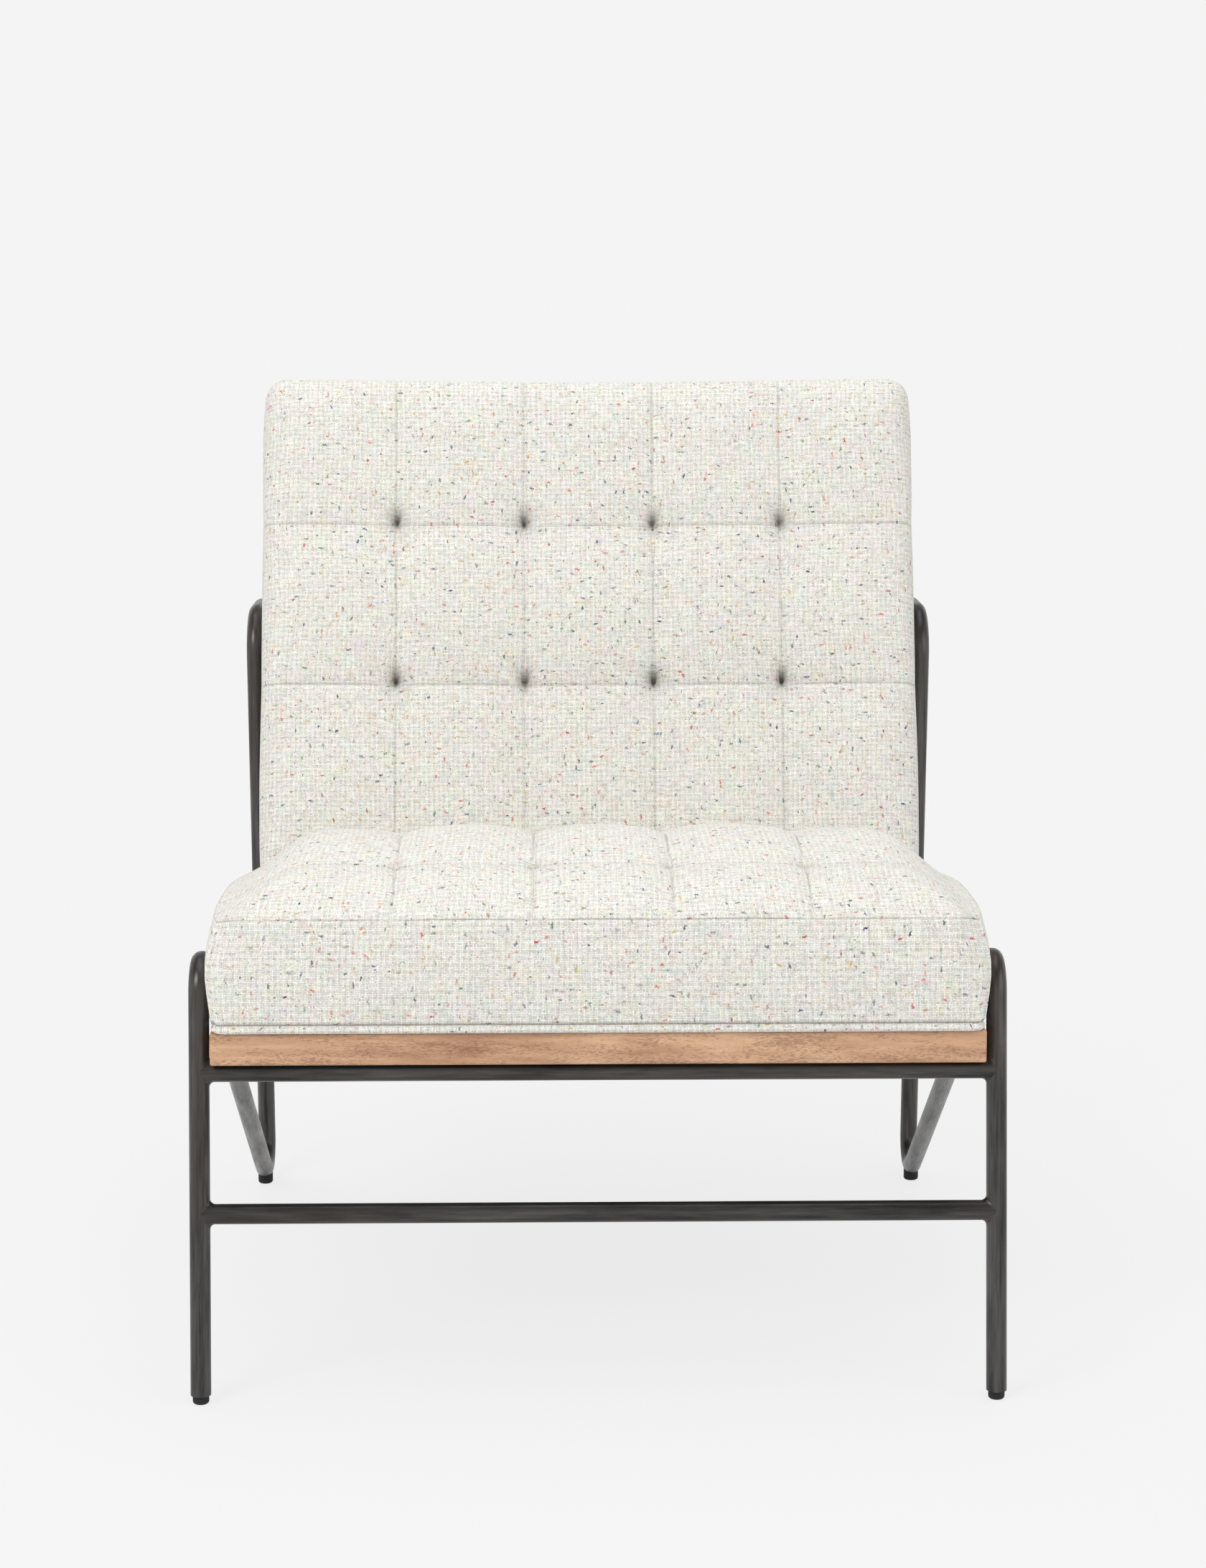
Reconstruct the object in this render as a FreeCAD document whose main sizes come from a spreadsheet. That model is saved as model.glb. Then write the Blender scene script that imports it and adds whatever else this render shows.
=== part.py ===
import FreeCAD, Part
import math
import os
import re
import Sketcher
from FreeCAD import Rotation, Vector

# A lounge chair: two bent tube side frames joined by four crossbars carry
# an oak seat frame, a tufted seat and a tufted reclined back.
# -Y is the front, +Z is up, left (-X) and right (+X) are as seen from the
# front, sizes are in millimetres and degrees, and the origin lies on the
# floor under the middle of the chair.

doc = FreeCAD.newDocument("lounge_chair")
sheet = doc.addObject("Spreadsheet::Sheet", "Sizes")

# Driving sizes, one cell each
SIZES = {
    "overall_width": 711,
    "tube_diameter": 18,
    "tube_wall": 1.5,
    "frame_front_height": 384.5,
    "post_top_rise": 334,
    "leg_lean": 8.3,
    "post_lean": 3.8,
    "rear_foot_place": 661.7,
    "bend_radius": 27,
    "top_bend_radius": 40,
    "stretcher_height": 163.5,
    "seat_bar_height": 286,
    "bar_diameter": 17.6,
    "weld_fillet": 4.5,
    "top_run_overhang": 6,
    "plug_head": 2.5,
    "plug_stem": 14,
    "bore_clearance": 0.3,
    "glide_height": 8,
    "glide_rim": 2.6,
    "glide_stem": 18,
    "rear_glide_diameter": 15.5,
    "glide_screw_shank": 4,
    "glide_screw_head": 7.5,
    "glide_screw_head_height": 2.5,
    "glide_screw_sink": 0.5,
    "glide_screw_length": 13,
    "seat_rake": 1.2,
    "rail_height": 28.5,
    "rail_thickness": 27,
    "rail_front_reach": 16.5,
    "rail_end_gap": 2,
    "rail_edge_round": 2,
    "dowel_diameter": 8,
    "dowel_length": 40,
    "dowel_spacing": 13,
    "dowel_clearance": 0.1,
    "corner_block_leg": 62,
    "corner_block_height": 20,
    "tab_thickness": 3,
    "seat_tab_width": 30,
    "seat_tab_length": 42,
    "seat_screw_inset": 28,
    "tab_weld_gap": 0.1,
    "screw_shank": 5,
    "screw_length": 22,
    "screw_head": 10,
    "screw_head_height": 3,
    "screw_clearance": 0.2,
    "strap_width": 50,
    "strap_thickness": 1.5,
    "strap_end_inset": 11,
    "lining_thickness": 2,
    "lining_inset": 9,
    "dust_cover_thickness": 1,
    "dust_cover_inset": 12,
    "dust_cover_notch": 1,
    "welt_height": 7,
    "welt_depth": 6,
    "fabric_gap": 0.5,
    "seat_front_reach": 20,
    "seat_side_height": 91.5,
    "seat_crown": 35,
    "seat_waist_height": 79.5,
    "seat_bottom_draw": 3,
    "seat_shoulder": 75,
    "seat_puff": 10,
    "seat_tuft_depth": 8,
    "seat_front_crown": 7,
    "seat_first_channel": 103,
    "seat_channel_pitch": 162,
    "seat_column_pitch": 120.8,
    "foam_margin": 14,
    "seat_foam_front_height": 66.5,
    "seat_foam_slope": 3.8,
    "soft_clearance": 0.3,
    "twine_diameter": 2,
    "twine_hole": 3,
    "back_recline": 19,
    "back_base_gap": 6.64,
    "back_base_inset": 62.1,
    "back_column_pitch": 132.4,
    "back_length": 541,
    "back_thickness": 100,
    "back_puff": 12,
    "back_tuft_depth": 7,
    "back_shoulder": 12,
    "back_bottom_draw": 2,
    "back_edge_round": 18,
    "back_top_channel": 161,
    "back_channel_pitch": 167,
    "back_wall": 3,
    "panel_thickness": 12,
    "panel_margin": 16,
    "back_foam_cover": 20,
    "back_tab_width": 40,
    "back_tab_length": 56,
    "back_tab_spacing": 400,
    "bolt_shank": 6,
    "bolt_spacing": 36,
    "bolt_head": 12,
    "bolt_head_height": 4,
    "bolt_clearance": 0.3,
    "tee_nut_flange": 18,
    "tee_nut_flange_height": 1.5,
    "tee_nut_barrel": 8,
    "toggle_diameter": 14,
    "toggle_thickness": 2,
    "bracket_width": 34,
    "bracket_side_inset": 1.5,
    "bracket_edge": 8,
    "bracket_foot_length": 44,
    "bracket_upright_length": 60,
    "bracket_thickness": 3,
    "bracket_hole_inset": 24,
    "bracket_screw_length": 14,
    "seat_rear_wall": 12,
    "cushion_end_round": 8,
    "overrun": 5,
}

# Sizes that follow from the driving ones
DERIVED = {
    "tube_radius": "tube_diameter / 2",
    "bar_radius": "bar_diameter / 2",
    "bore_radius": "tube_radius - tube_wall",
    "stem_radius": "bore_radius - bore_clearance",
    "half_track": "overall_width / 2 - tube_radius",
    "inner_half_width": "half_track - tube_radius",
    "recess_depth": "glide_screw_sink + glide_screw_head_height",
    "front_bend_height": "frame_front_height - tube_radius - bend_radius",
    "front_bend_place": "front_bend_height * tan(leg_lean) + bend_radius / cos(leg_lean)",
    "rear_bend_height": "glide_height + tube_radius + bend_radius",
    "post_line_place": "rear_foot_place + bend_radius / cos(post_lean)",
    "post_top_height": "seat_bar_height + post_top_rise",
    "top_line_height": "post_top_height - tube_radius",
    "top_bend_height": "top_line_height - top_bend_radius",
    "post_at_top": "post_line_place - (top_bend_height - rear_bend_height) * tan(post_lean)",
    "top_bend_place": "post_at_top + top_bend_radius / cos(post_lean)",
    "seat_bar_place": "seat_bar_height * tan(leg_lean)",
    "stretcher_place": "stretcher_height * tan(leg_lean)",
    "post_at_floor": "post_line_place + rear_bend_height * tan(post_lean)",
    "rear_bar_height": "(seat_bar_height - (post_at_floor - seat_bar_place) * tan(seat_rake))"
                       " / (1 - tan(post_lean) * tan(seat_rake))",
    "rear_bar_place": "post_at_floor - rear_bar_height * tan(post_lean)",
    "bar_spacing": "(rear_bar_place - seat_bar_place) / cos(seat_rake)",
    "base_rise": "rail_height + back_base_gap",
    "base_reach": "bar_spacing - back_base_inset",
    "back_base_place": "seat_bar_place + (bar_radius + base_rise) * sin(seat_rake)"
                       " + base_reach * cos(seat_rake)",
    "back_base_height": "seat_bar_height + (bar_radius + base_rise) * cos(seat_rake)"
                        " - base_reach * sin(seat_rake)",
    "back_bar_along": "(top_line_height - back_base_height"
                      " + (tab_thickness + bar_radius) * sin(back_recline)) / cos(back_recline)",
    "back_bar_place": "back_base_place + back_bar_along * sin(back_recline)"
                      " + (tab_thickness + bar_radius) * cos(back_recline)",
    "run_end": "back_bar_place + tube_radius + top_run_overhang",
    "rail_half_length": "inner_half_width - rail_end_gap",
    "rail_inner": "rail_half_length - rail_thickness",
    "rail_middle": "rail_half_length - rail_thickness / 2",
    "tab_middle": "rail_inner - seat_tab_width * 3 / 4",
    "bracket_inner": "rail_half_length - bracket_side_inset - bracket_width",
    "rail_back_face": "rail_thickness - rail_front_reach",
    "rear_rail_front": "bar_spacing - rail_thickness / 2",
    "side_rail_length": "rear_rail_front - rail_back_face",
    "strap_level": "rail_height + strap_thickness",
    "lining_level": "strap_level + strap_thickness",
    "foam_level": "lining_level + lining_thickness",
    "cushion_half_width": "inner_half_width - fabric_gap",
    "cover_level": "rail_height + welt_height",
    "seat_level": "cover_level + seat_side_height",
    "back_level": "back_thickness - back_puff",
    "panel_level": "back_wall + toggle_thickness + panel_thickness",
    "back_row_low": "back_length - back_top_channel - back_channel_pitch",
    "tab_start": "sqrt(tab_thickness * (bar_diameter - tab_thickness)) + tab_weld_gap",
    "panel_back": "back_wall + toggle_thickness",
    "back_to_seat": "back_recline - seat_rake",
    "bracket_drop": "(base_rise - rail_height - bracket_thickness) / cos(back_to_seat)",
    "bracket_start": "base_reach - bracket_drop * sin(back_to_seat)",
    "bracket_top": "rail_height + bracket_thickness",
    "bracket_screw_place": "bracket_start + bracket_foot_length - bracket_hole_inset",
    "cover_half_space": "cushion_half_width - foam_margin + soft_clearance",
}

cells = {name: str(number) for name, number in SIZES.items()}
cells.update({name: "=" + formula for name, formula in DERIVED.items()})
# The front foot's place along Y is set last, when the chair's depth is known
cells["front_foot_place"] = "0"
for row, (name, content) in enumerate(cells.items(), start=1):
    sheet.set(f"A{row}", name)
    sheet.set(f"B{row}", content)
    sheet.setAlias(f"B{row}", name)
doc.recompute()


def tied(formula):
    """A formula with each size's name written as a cell of the sheet."""
    return re.sub(r"[a-z][a-z_]+", lambda word: "Sizes." * (word[0] in cells) + word[0], formula)


def value(formula):
    """The number that a formula of sizes has now."""
    return float(sheet.evalExpression(tied(formula)))


def point(*formulas):
    return Vector(*[value(formula) for formula in formulas])


def bind(piece, **formulas):
    """Binds each named size of a piece to a formula of sizes."""
    for name, formula in formulas.items():
        piece.setExpression(name, tied(formula))
    return piece


# Three frames that pieces are placed in: the chair's own, measured from the
# front foot, the seat's, which slopes back from the top of the front bar,
# and the back's, which reclines from its lower rear edge
def turned(y, z, angle):
    return f"placement(vector(0; front_foot_place + {y}; {z}); rotation(vector(1; 0; 0); {angle}))"


CHAIR = turned("0", "0", "0")
SEAT = turned("seat_bar_place + bar_radius * sin(seat_rake)",
              "seat_bar_height + bar_radius * cos(seat_rake)", "-seat_rake")
BACK = turned("back_base_place", "back_base_height", "90 - back_recline")
UPRIGHT = "rotation(vector(1; 0; 0); 0)"
ALONG_DEPTH = "rotation(vector(1; 0; 0); -90)"
ALONG_WIDTH = "rotation(vector(0; 1; 0); 90)"


def place(piece, frame, x="0", y="0", z="0", turn=UPRIGHT):
    piece.setExpression("Placement", tied(f"{frame} * placement(vector({x}; {y}; {z}); {turn})"))
    return piece


nodes = []


def node(piece, label):
    """Names a finished sub-part."""
    piece.Label = label
    nodes.append(piece)
    return piece


def made(kind, name, **properties):
    piece = doc.addObject(kind, name)
    for key, setting in properties.items():
        setattr(piece, key, setting)
    return piece


def box(name, frame, corner, size):
    piece = bind(made("Part::Box", name), Length=size[0], Width=size[1], Height=size[2])
    return place(piece, frame, *corner)


def cylinder(name, frame, radius, length, start, turn=UPRIGHT):
    piece = bind(made("Part::Cylinder", name), Radius=radius, Height=length)
    return place(piece, frame, *start, turn=turn)


def stepped_pin(name, frame, start, steps, turn=UPRIGHT):
    """One turned pin: steps of radius, start and length along its own axis."""
    parts = []
    for radius, first, length in steps:
        step = bind(made("Part::Cylinder", name + "_step"), Radius=radius, Height=length)
        x, y, z = start
        placed = f"{frame} * placement(vector({x}; {y}; {z}); {turn})"
        step.setExpression("Placement", tied(f"{placed} * placement(vector(0; 0; {first}); {UPRIGHT})"))
        parts.append(step)
    return made("Part::MultiFuse", name, Shapes=parts)


def group(label, pieces):
    """Several loose copies of one piece as one sub-part."""
    return node(made("Part::Compound", label, Links=pieces), label)


def without(label, blank, tools):
    """A sub-part cut from a blank by one or more tools."""
    tool = tools[0] if len(tools) == 1 else made("Part::Compound", label + "_tools", Links=tools)
    return node(made("Part::Cut", label, Base=blank, Tool=tool), label)


def origin_plane(body, role):
    return next(feature for feature in body.Origin.OriginFeatures if feature.Role == role)


def sketch_on(body, name, role):
    sketch = body.newObject("Sketcher::SketchObject", name)
    sketch.AttachmentSupport = [(origin_plane(body, role), "")]
    sketch.MapMode = "FlatFace"
    return sketch


def constrain(sketch, formula, kind, *places):
    """Adds one dimension to a sketch and binds it to a formula of sizes."""
    index = sketch.addConstraint(Sketcher.Constraint(kind, *places, value(formula)))
    sketch.setExpression(f"Constraints[{index}]", tied(formula))


def polygon(sketch, corners):
    """A closed outline whose corners are bound to formulas of sizes."""
    points = [point(x, y, "0") for x, y in corners]
    lines = [sketch.addGeometry(Part.LineSegment(a, b), False)
             for a, b in zip(points, points[1:] + points[:1])]
    for line, following in zip(lines, lines[1:] + lines[:1]):
        sketch.addConstraint(Sketcher.Constraint("Coincident", line, 2, following, 1))
    for line, (x, y) in zip(lines, corners):
        constrain(sketch, x, "DistanceX", -1, 1, line, 1)
        constrain(sketch, y, "DistanceY", -1, 1, line, 1)


# Side frames: one tube bent three times, foot to foot to top run

def square_to(line):
    """The unit direction to the right of a line in the sketch."""
    return Vector(line.y, -line.x, 0).normalize()


def tube_path(body):
    """The tube's centre line: front leg, brace down to the rear foot, post, top run."""
    path = sketch_on(body, body.Name + "_path", "YZ_Plane")
    bend = value("bend_radius")
    top_bend = value("top_bend_radius")
    front = point("front_bend_place", "front_bend_height", "0")
    rear = point("rear_foot_place", "rear_bend_height", "0")
    top = point("top_bend_place", "top_bend_height", "0")
    up_leg = point("sin(leg_lean)", "cos(leg_lean)", "0")
    up_post = point("-sin(post_lean)", "cos(post_lean)", "0")
    across = rear - front
    steeper = Rotation(Vector(0, 0, -1), math.degrees(math.asin(2 * bend / across.Length)))
    down_brace = steeper.multVec(across)
    corners = [
        (Vector(0, 0, 0), front - square_to(up_leg) * bend),
        (front - square_to(down_brace) * bend, rear + square_to(down_brace) * bend),
        (rear + square_to(up_post) * bend, top - square_to(up_post) * top_bend),
        (top + Vector(0, top_bend, 0), point("run_end", "top_line_height", "0")),
    ]
    leg, brace, post, run = [path.addGeometry(Part.LineSegment(a, b), False) for a, b in corners]

    def bend_between(centre, radius, first, second):
        angles = [Vector(1, 0, 0).getAngle(end - centre) for end in (first, second)]
        angles = [angle if end.y >= centre.y else -angle for angle, end in zip(angles, (first, second))]
        circle = Part.Circle(centre, Vector(0, 0, 1), radius)
        return path.addGeometry(Part.ArcOfCircle(circle, *angles), False)

    front_bend = bend_between(front, bend, corners[1][0], corners[0][1])
    rear_bend = bend_between(rear, bend, corners[1][1], corners[2][0])
    top_arc = bend_between(top, top_bend, corners[3][0], corners[2][1])
    for joint in ((leg, 2, front_bend, 2), (front_bend, 1, brace, 1), (brace, 2, rear_bend, 1),
                  (rear_bend, 2, post, 1), (post, 2, top_arc, 2), (top_arc, 1, run, 1)):
        path.addConstraint(Sketcher.Constraint("Tangent", *joint))
    path.addConstraint(Sketcher.Constraint("Coincident", leg, 1, -1, 1))
    path.addConstraint(Sketcher.Constraint("Horizontal", run))
    constrain(path, "bend_radius", "Radius", front_bend)
    constrain(path, "bend_radius", "Radius", rear_bend)
    constrain(path, "top_bend_radius", "Radius", top_arc)
    constrain(path, "front_bend_place", "DistanceX", -1, 1, front_bend, 3)
    constrain(path, "front_bend_height", "DistanceY", -1, 1, front_bend, 3)
    constrain(path, "rear_foot_place", "DistanceX", -1, 1, rear_bend, 3)
    constrain(path, "rear_bend_height", "DistanceY", -1, 1, rear_bend, 3)
    constrain(path, "top_bend_place", "DistanceX", -1, 1, top_arc, 3)
    constrain(path, "top_bend_height", "DistanceY", -1, 1, top_arc, 3)
    constrain(path, "run_end", "DistanceX", -1, 1, run, 2)
    return path


def side_frame(label, side):
    body = made("PartDesign::Body", label)
    path = tube_path(body)
    doc.recompute()
    ring = body.newObject("Sketcher::SketchObject", label + "_ring")
    ring.AttachmentSupport = [(path, "Edge1")]
    ring.MapMode = "NormalToEdge"
    for radius in ("tube_radius", "bore_radius"):
        circle = ring.addGeometry(Part.Circle(Vector(0, 0, 0), Vector(0, 0, 1), value(radius)), False)
        ring.addConstraint(Sketcher.Constraint("Coincident", circle, 3, -1, 1))
        constrain(ring, radius, "Radius", circle)
    tube = body.newObject("PartDesign::AdditivePipe", label + "_tube")
    tube.Profile = ring
    tube.Spine = (path, [f"Edge{number}" for number in range(1, len(path.Geometry) + 1)])
    # The front foot is cut level, where its glide sits
    sole = sketch_on(body, label + "_sole", "XY_Plane")
    sole.setExpression("AttachmentOffset.Base.z", tied("glide_height"))
    disc = sole.addGeometry(Part.Circle(Vector(0, 0, 0), Vector(0, 0, 1), value("tube_diameter")), False)
    sole.addConstraint(Sketcher.Constraint("Coincident", disc, 3, -1, 1))
    constrain(sole, "tube_diameter", "Radius", disc)
    trim = body.newObject("PartDesign::Pocket", label + "_foot_cut")
    trim.Profile = sole
    bind(trim, Length="glide_height + overrun")
    # A screw hole under the rear bend, for the rear glide
    hole = sketch_on(body, label + "_screw_hole", "XY_Plane")
    circle = hole.addGeometry(Part.Circle(point("0", "rear_foot_place", "0"), Vector(0, 0, 1),
                                          value("glide_screw_shank / 2 + screw_clearance")), False)
    hole.addConstraint(Sketcher.Constraint("PointOnObject", circle, 3, -2))
    constrain(hole, "rear_foot_place", "DistanceY", -1, 1, circle, 3)
    constrain(hole, "glide_screw_shank / 2 + screw_clearance", "Radius", circle)
    drill = body.newObject("PartDesign::Pocket", label + "_drill")
    drill.Profile = hole
    drill.Reversed = True
    bind(drill, Length="glide_height + tube_wall + overrun")
    place(body, CHAIR, x=f"{side} * half_track")
    return node(body, label)


side_frame("left_side_frame", "-1")
side_frame("right_side_frame", "1")


# Crossbars: each is a tube whose ends are saddled onto the two side tubes
# and welded there with a small concave fillet

def crossbar(label, y, z, side_tube_turn):
    side_radius = value("tube_radius")
    half = value("half_track")
    reach = value("tube_diameter + 2 * weld_fillet")
    axis = Rotation(Vector(1, 0, 0), value(side_tube_turn)).multVec(Vector(0, 0, 1))
    side_tubes = [Part.makeCylinder(side_radius, 2 * reach, Vector(side * half, 0, 0) - axis * reach, axis)
                  for side in (-1, 1)]
    bar, bore = [Part.makeCylinder(value(radius), 2 * half, Vector(-half, 0, 0), Vector(1, 0, 0))
                 for radius in ("bar_radius", "bar_radius - tube_wall")]
    joined = bar.fuse(side_tubes)
    seams = [edge for edge in joined.Edges if not isinstance(edge.Curve, (Part.Line, Part.Circle))]
    welded = joined.makeFillet(value("weld_fillet"), seams)
    piece = made("Part::Feature", label, Shape=welded.cut(side_tubes + [bore]))
    place(piece, CHAIR, y=y, z=z)
    return node(piece, label)


crossbar("front_seat_crossbar", "seat_bar_place", "seat_bar_height", "-leg_lean")
crossbar("front_stretcher", "stretcher_place", "stretcher_height", "-leg_lean")
crossbar("rear_seat_crossbar", "rear_bar_place", "rear_bar_height", "post_lean")
crossbar("back_crossbar", "back_bar_place", "top_line_height", "-90")


# Glides, the plugs in the tube ends and the rear glides' screws

SIDES = (("left", "-1"), ("right", "1"))


def rounded_foot(name, frame, radius, height, start):
    """A rubber foot with a rounded lower rim, revolved about its own axis."""
    body = made("PartDesign::Body", name)
    outline = sketch_on(body, name + "_outline", "XZ_Plane")
    polygon(outline, [("0", "0"), (radius, "0"), (radius, height), ("0", height)])
    turn = body.newObject("PartDesign::Revolution", name + "_turn")
    turn.Profile = outline
    turn.ReferenceAxis = (outline, ["V_Axis"])
    doc.recompute()
    rim = body.newObject("PartDesign::Fillet", name + "_rim")
    lowest = [f"Edge{number}" for number, edge in enumerate(turn.Shape.Edges, start=1)
              if edge.BoundBox.ZMax < value(height) / 2 and isinstance(edge.Curve, Part.Circle)]
    rim.Base = (turn, lowest)
    bind(rim, Radius="glide_rim")
    return place(body, frame, *start)


front_glides = []
for side, sign in SIDES:
    foot_place = (f"{sign} * half_track", "glide_height * tan(leg_lean)", "0")
    stem_place = (f"{sign} * half_track", "glide_height * tan(leg_lean)", "glide_height")
    foot = rounded_foot(f"{side}_front_foot", CHAIR, "stem_radius", "glide_height", foot_place)
    stem = cylinder(f"{side}_front_stem", CHAIR, "stem_radius", "glide_stem", stem_place,
                    "rotation(vector(1; 0; 0); -leg_lean)")
    front_glides.append(made("Part::MultiFuse", f"{side}_front_glide", Shapes=[foot, stem]))
group("front_glides", front_glides)

rear_glides = []
glide_screws = []
for side, sign in SIDES:
    at = (f"{sign} * half_track", "rear_foot_place", "0")
    foot = rounded_foot(f"{side}_rear_foot", CHAIR, "rear_glide_diameter / 2",
                        "glide_height + tube_radius / 2", at)
    # The foot is hollowed to sit under the bent tube
    saddle = place(bind(made("Part::Torus", f"{side}_saddle"), Radius1="bend_radius",
                        Radius2="tube_radius + bore_clearance / 2"), CHAIR,
                   f"{sign} * half_track", "rear_foot_place", "rear_bend_height", ALONG_WIDTH)
    hole = stepped_pin(f"{side}_glide_hole", CHAIR, at,
                       [("glide_screw_head / 2 + screw_clearance", "-overrun", "overrun + recess_depth"),
                        ("glide_screw_shank / 2 + screw_clearance", "0", "glide_height + tube_diameter")])
    tools = made("Part::Compound", f"{side}_glide_tools", Links=[saddle, hole])
    rear_glides.append(made("Part::Cut", f"{side}_rear_glide", Base=foot, Tool=tools))
    glide_screws.append(stepped_pin(
        f"{side}_glide_screw", CHAIR, at,
        [("glide_screw_head / 2", "glide_screw_sink", "glide_screw_head_height"),
         ("glide_screw_shank / 2", "glide_screw_head_height", "glide_screw_length")]))
group("rear_glides", rear_glides)
group("rear_glide_screws", glide_screws)

group("tube_end_plugs", [
    stepped_pin(f"{side}_plug", CHAIR, (f"{sign} * half_track", "run_end", "top_line_height"),
                [("tube_radius", "0", "plug_head"),
                 ("stem_radius", "-plug_stem", "plug_stem + plug_head / 2")], ALONG_DEPTH)
    for side, sign in SIDES])


# Seat frame: four oak rails, dowelled at the corners, with glued blocks

def eased_board(name, corner, size, every_edge=True):
    """A sawn board with its edges eased, all of them or only the long ones."""
    body = made("PartDesign::Body", name)
    outline = sketch_on(body, name + "_outline", "XY_Plane")
    length, width, height = size
    polygon(outline, [("0", "0"), (length, "0"), (length, width), ("0", width)])
    board = body.newObject("PartDesign::Pad", name + "_board")
    board.Profile = outline
    bind(board, Length=height)
    doc.recompute()
    eased = body.newObject("PartDesign::Fillet", name + "_eased")
    shortest = 0 if every_edge else value(f"({length} + {width}) / 2")
    edges = [f"Edge{number}" for number, edge in enumerate(board.Shape.Edges, start=1)
             if edge.Length > shortest]
    eased.Base = (board, edges)
    bind(eased, Radius="rail_edge_round")
    return place(body, SEAT, *corner)


dowel_places = [(f"{sign} * rail_middle", y, f"rail_height / 2 + {step} * dowel_spacing / 2")
                for _, sign in SIDES for y in ("rail_back_face", "rear_rail_front") for step in ("-1", "1")]


def dowel_holes(name):
    return [cylinder(f"{name}_hole", SEAT, "dowel_diameter / 2 + dowel_clearance",
                     "dowel_length + 2 * dowel_clearance",
                     (x, f"{y} - dowel_length / 2 - dowel_clearance", z), ALONG_DEPTH)
            for x, y, z in dowel_places]


def bracket_screw_holes(name):
    return [cylinder(f"{name}_screw_hole", SEAT, "screw_shank / 2 + screw_clearance",
                     "screw_length + overrun", (f"{sign} * rail_middle", "bracket_screw_place",
                                                "bracket_top - screw_length - screw_clearance"))
            for _, sign in SIDES]


for label, face in (("front_rail", "-rail_front_reach"), ("rear_rail", "rear_rail_front")):
    blank = eased_board(f"{label}_blank", ("-rail_half_length", face, "0"),
                        ("2 * rail_half_length", "rail_thickness", "rail_height"))
    without(label, blank, dowel_holes(label))
for side, corner in (("left", "-rail_half_length"), ("right", "rail_inner")):
    blank = eased_board(f"{side}_rail_blank", (corner, "rail_back_face", "0"),
                        ("rail_thickness", "side_rail_length", "rail_height"), every_edge=False)
    without(f"{side}_rail", blank, dowel_holes(f"{side}_rail") + bracket_screw_holes(f"{side}_rail"))
group("rail_dowels", [cylinder("dowel", SEAT, "dowel_diameter / 2", "dowel_length",
                               (x, f"{y} - dowel_length / 2", z), ALONG_DEPTH) for x, y, z in dowel_places])


# Steel tabs under the corners carry the seat frame on its two crossbars

# Each end's name, the rail's inner face, the way inward, and the tab's low and welded ends
ENDS = (("front", "rail_back_face", "1", "tab_start", "tab_start"),
        ("rear", "rear_rail_front", "-1", "bar_spacing - tab_start - seat_tab_length",
         "bar_spacing - tab_start"))


def corner_block(name, sign, face, inward):
    body = made("PartDesign::Body", name)
    outline = sketch_on(body, name + "_outline", "XY_Plane")
    polygon(outline, [(f"{sign} * rail_inner", face), (f"{sign} * (rail_inner - corner_block_leg)", face),
                      (f"{sign} * rail_inner", f"{face} + {inward} * corner_block_leg")])
    block = body.newObject("PartDesign::Pad", name + "_pad")
    block.Profile = outline
    bind(block, Length="corner_block_height")
    return place(body, SEAT)


def seat_screws(name, grow="0", longer="0"):
    """The four screws up through the tabs, or with some growth their holes."""
    return [stepped_pin(name, SEAT, (f"{sign} * tab_middle", f"{root} + {inward} * seat_screw_inset",
                                     "-tab_thickness"),
                        [(f"screw_head / 2 + {grow}", "-screw_head_height", "screw_head_height"),
                         (f"screw_shank / 2 + {grow}", f"-screw_head_height / 2 - {longer}",
                          f"screw_length + screw_head_height / 2 + 2 * {longer}")])
            for _, sign in SIDES for _, _, inward, _, root in ENDS]


blocks = made("Part::Compound", "blank_corner_blocks",
              Links=[corner_block(f"{end}_{side}_block", sign, face, inward)
                     for side, sign in SIDES for end, face, inward, _, _ in ENDS])
without("corner_blocks", blocks, seat_screws("block_hole", "screw_clearance", "screw_clearance"))
for end, _, inward, start, root in ENDS:
    plates = made("Part::Compound", f"blank_{end}_tabs",
                  Links=[box(f"{end}_tab", SEAT,
                             (f"{sign} * tab_middle - seat_tab_width / 2", start, "-tab_thickness"),
                             ("seat_tab_width", "seat_tab_length", "tab_thickness")) for _, sign in SIDES])
    without(f"{end}_seat_tabs", plates, seat_screws(f"{end}_tab_hole", "screw_clearance", "screw_clearance"))
group("seat_screws", seat_screws("seat_screw"))


# Suspension: straps over the rails, a cloth over the straps, and a dust
# cover stretched under the frame

def strap_places(count, first, last):
    """Evenly spaced middles for a number of straps between two places."""
    return [f"{first} + ({last} - ({first})) * {2 * index + 1} / {2 * count}" for index in range(count)]


LONG_STRAP_COUNT = 5
CROSS_STRAP_COUNT = 4
group("long_straps", [
    box("long_strap", SEAT, (f"{x} - strap_width / 2", "strap_end_inset - rail_front_reach", "rail_height"),
        ("strap_width", "bar_spacing + rail_thickness / 2 + rail_front_reach - 2 * strap_end_inset",
         "strap_thickness"))
    for x in strap_places(LONG_STRAP_COUNT, "-rail_inner", "rail_inner")])
group("cross_straps", [
    box("cross_strap", SEAT, ("strap_end_inset - rail_half_length", f"{y} - strap_width / 2", "strap_level"),
        ("2 * (rail_half_length - strap_end_inset)", "strap_width", "strap_thickness"))
    for y in strap_places(CROSS_STRAP_COUNT, "rail_back_face", "bracket_start")])
node(box("seat_lining", SEAT,
         ("lining_inset - rail_inner", "lining_inset - rail_front_reach", "lining_level"),
         ("2 * (rail_inner - lining_inset)", "bar_spacing + rail_front_reach - lining_inset",
          "lining_thickness")), "seat_lining")
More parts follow.
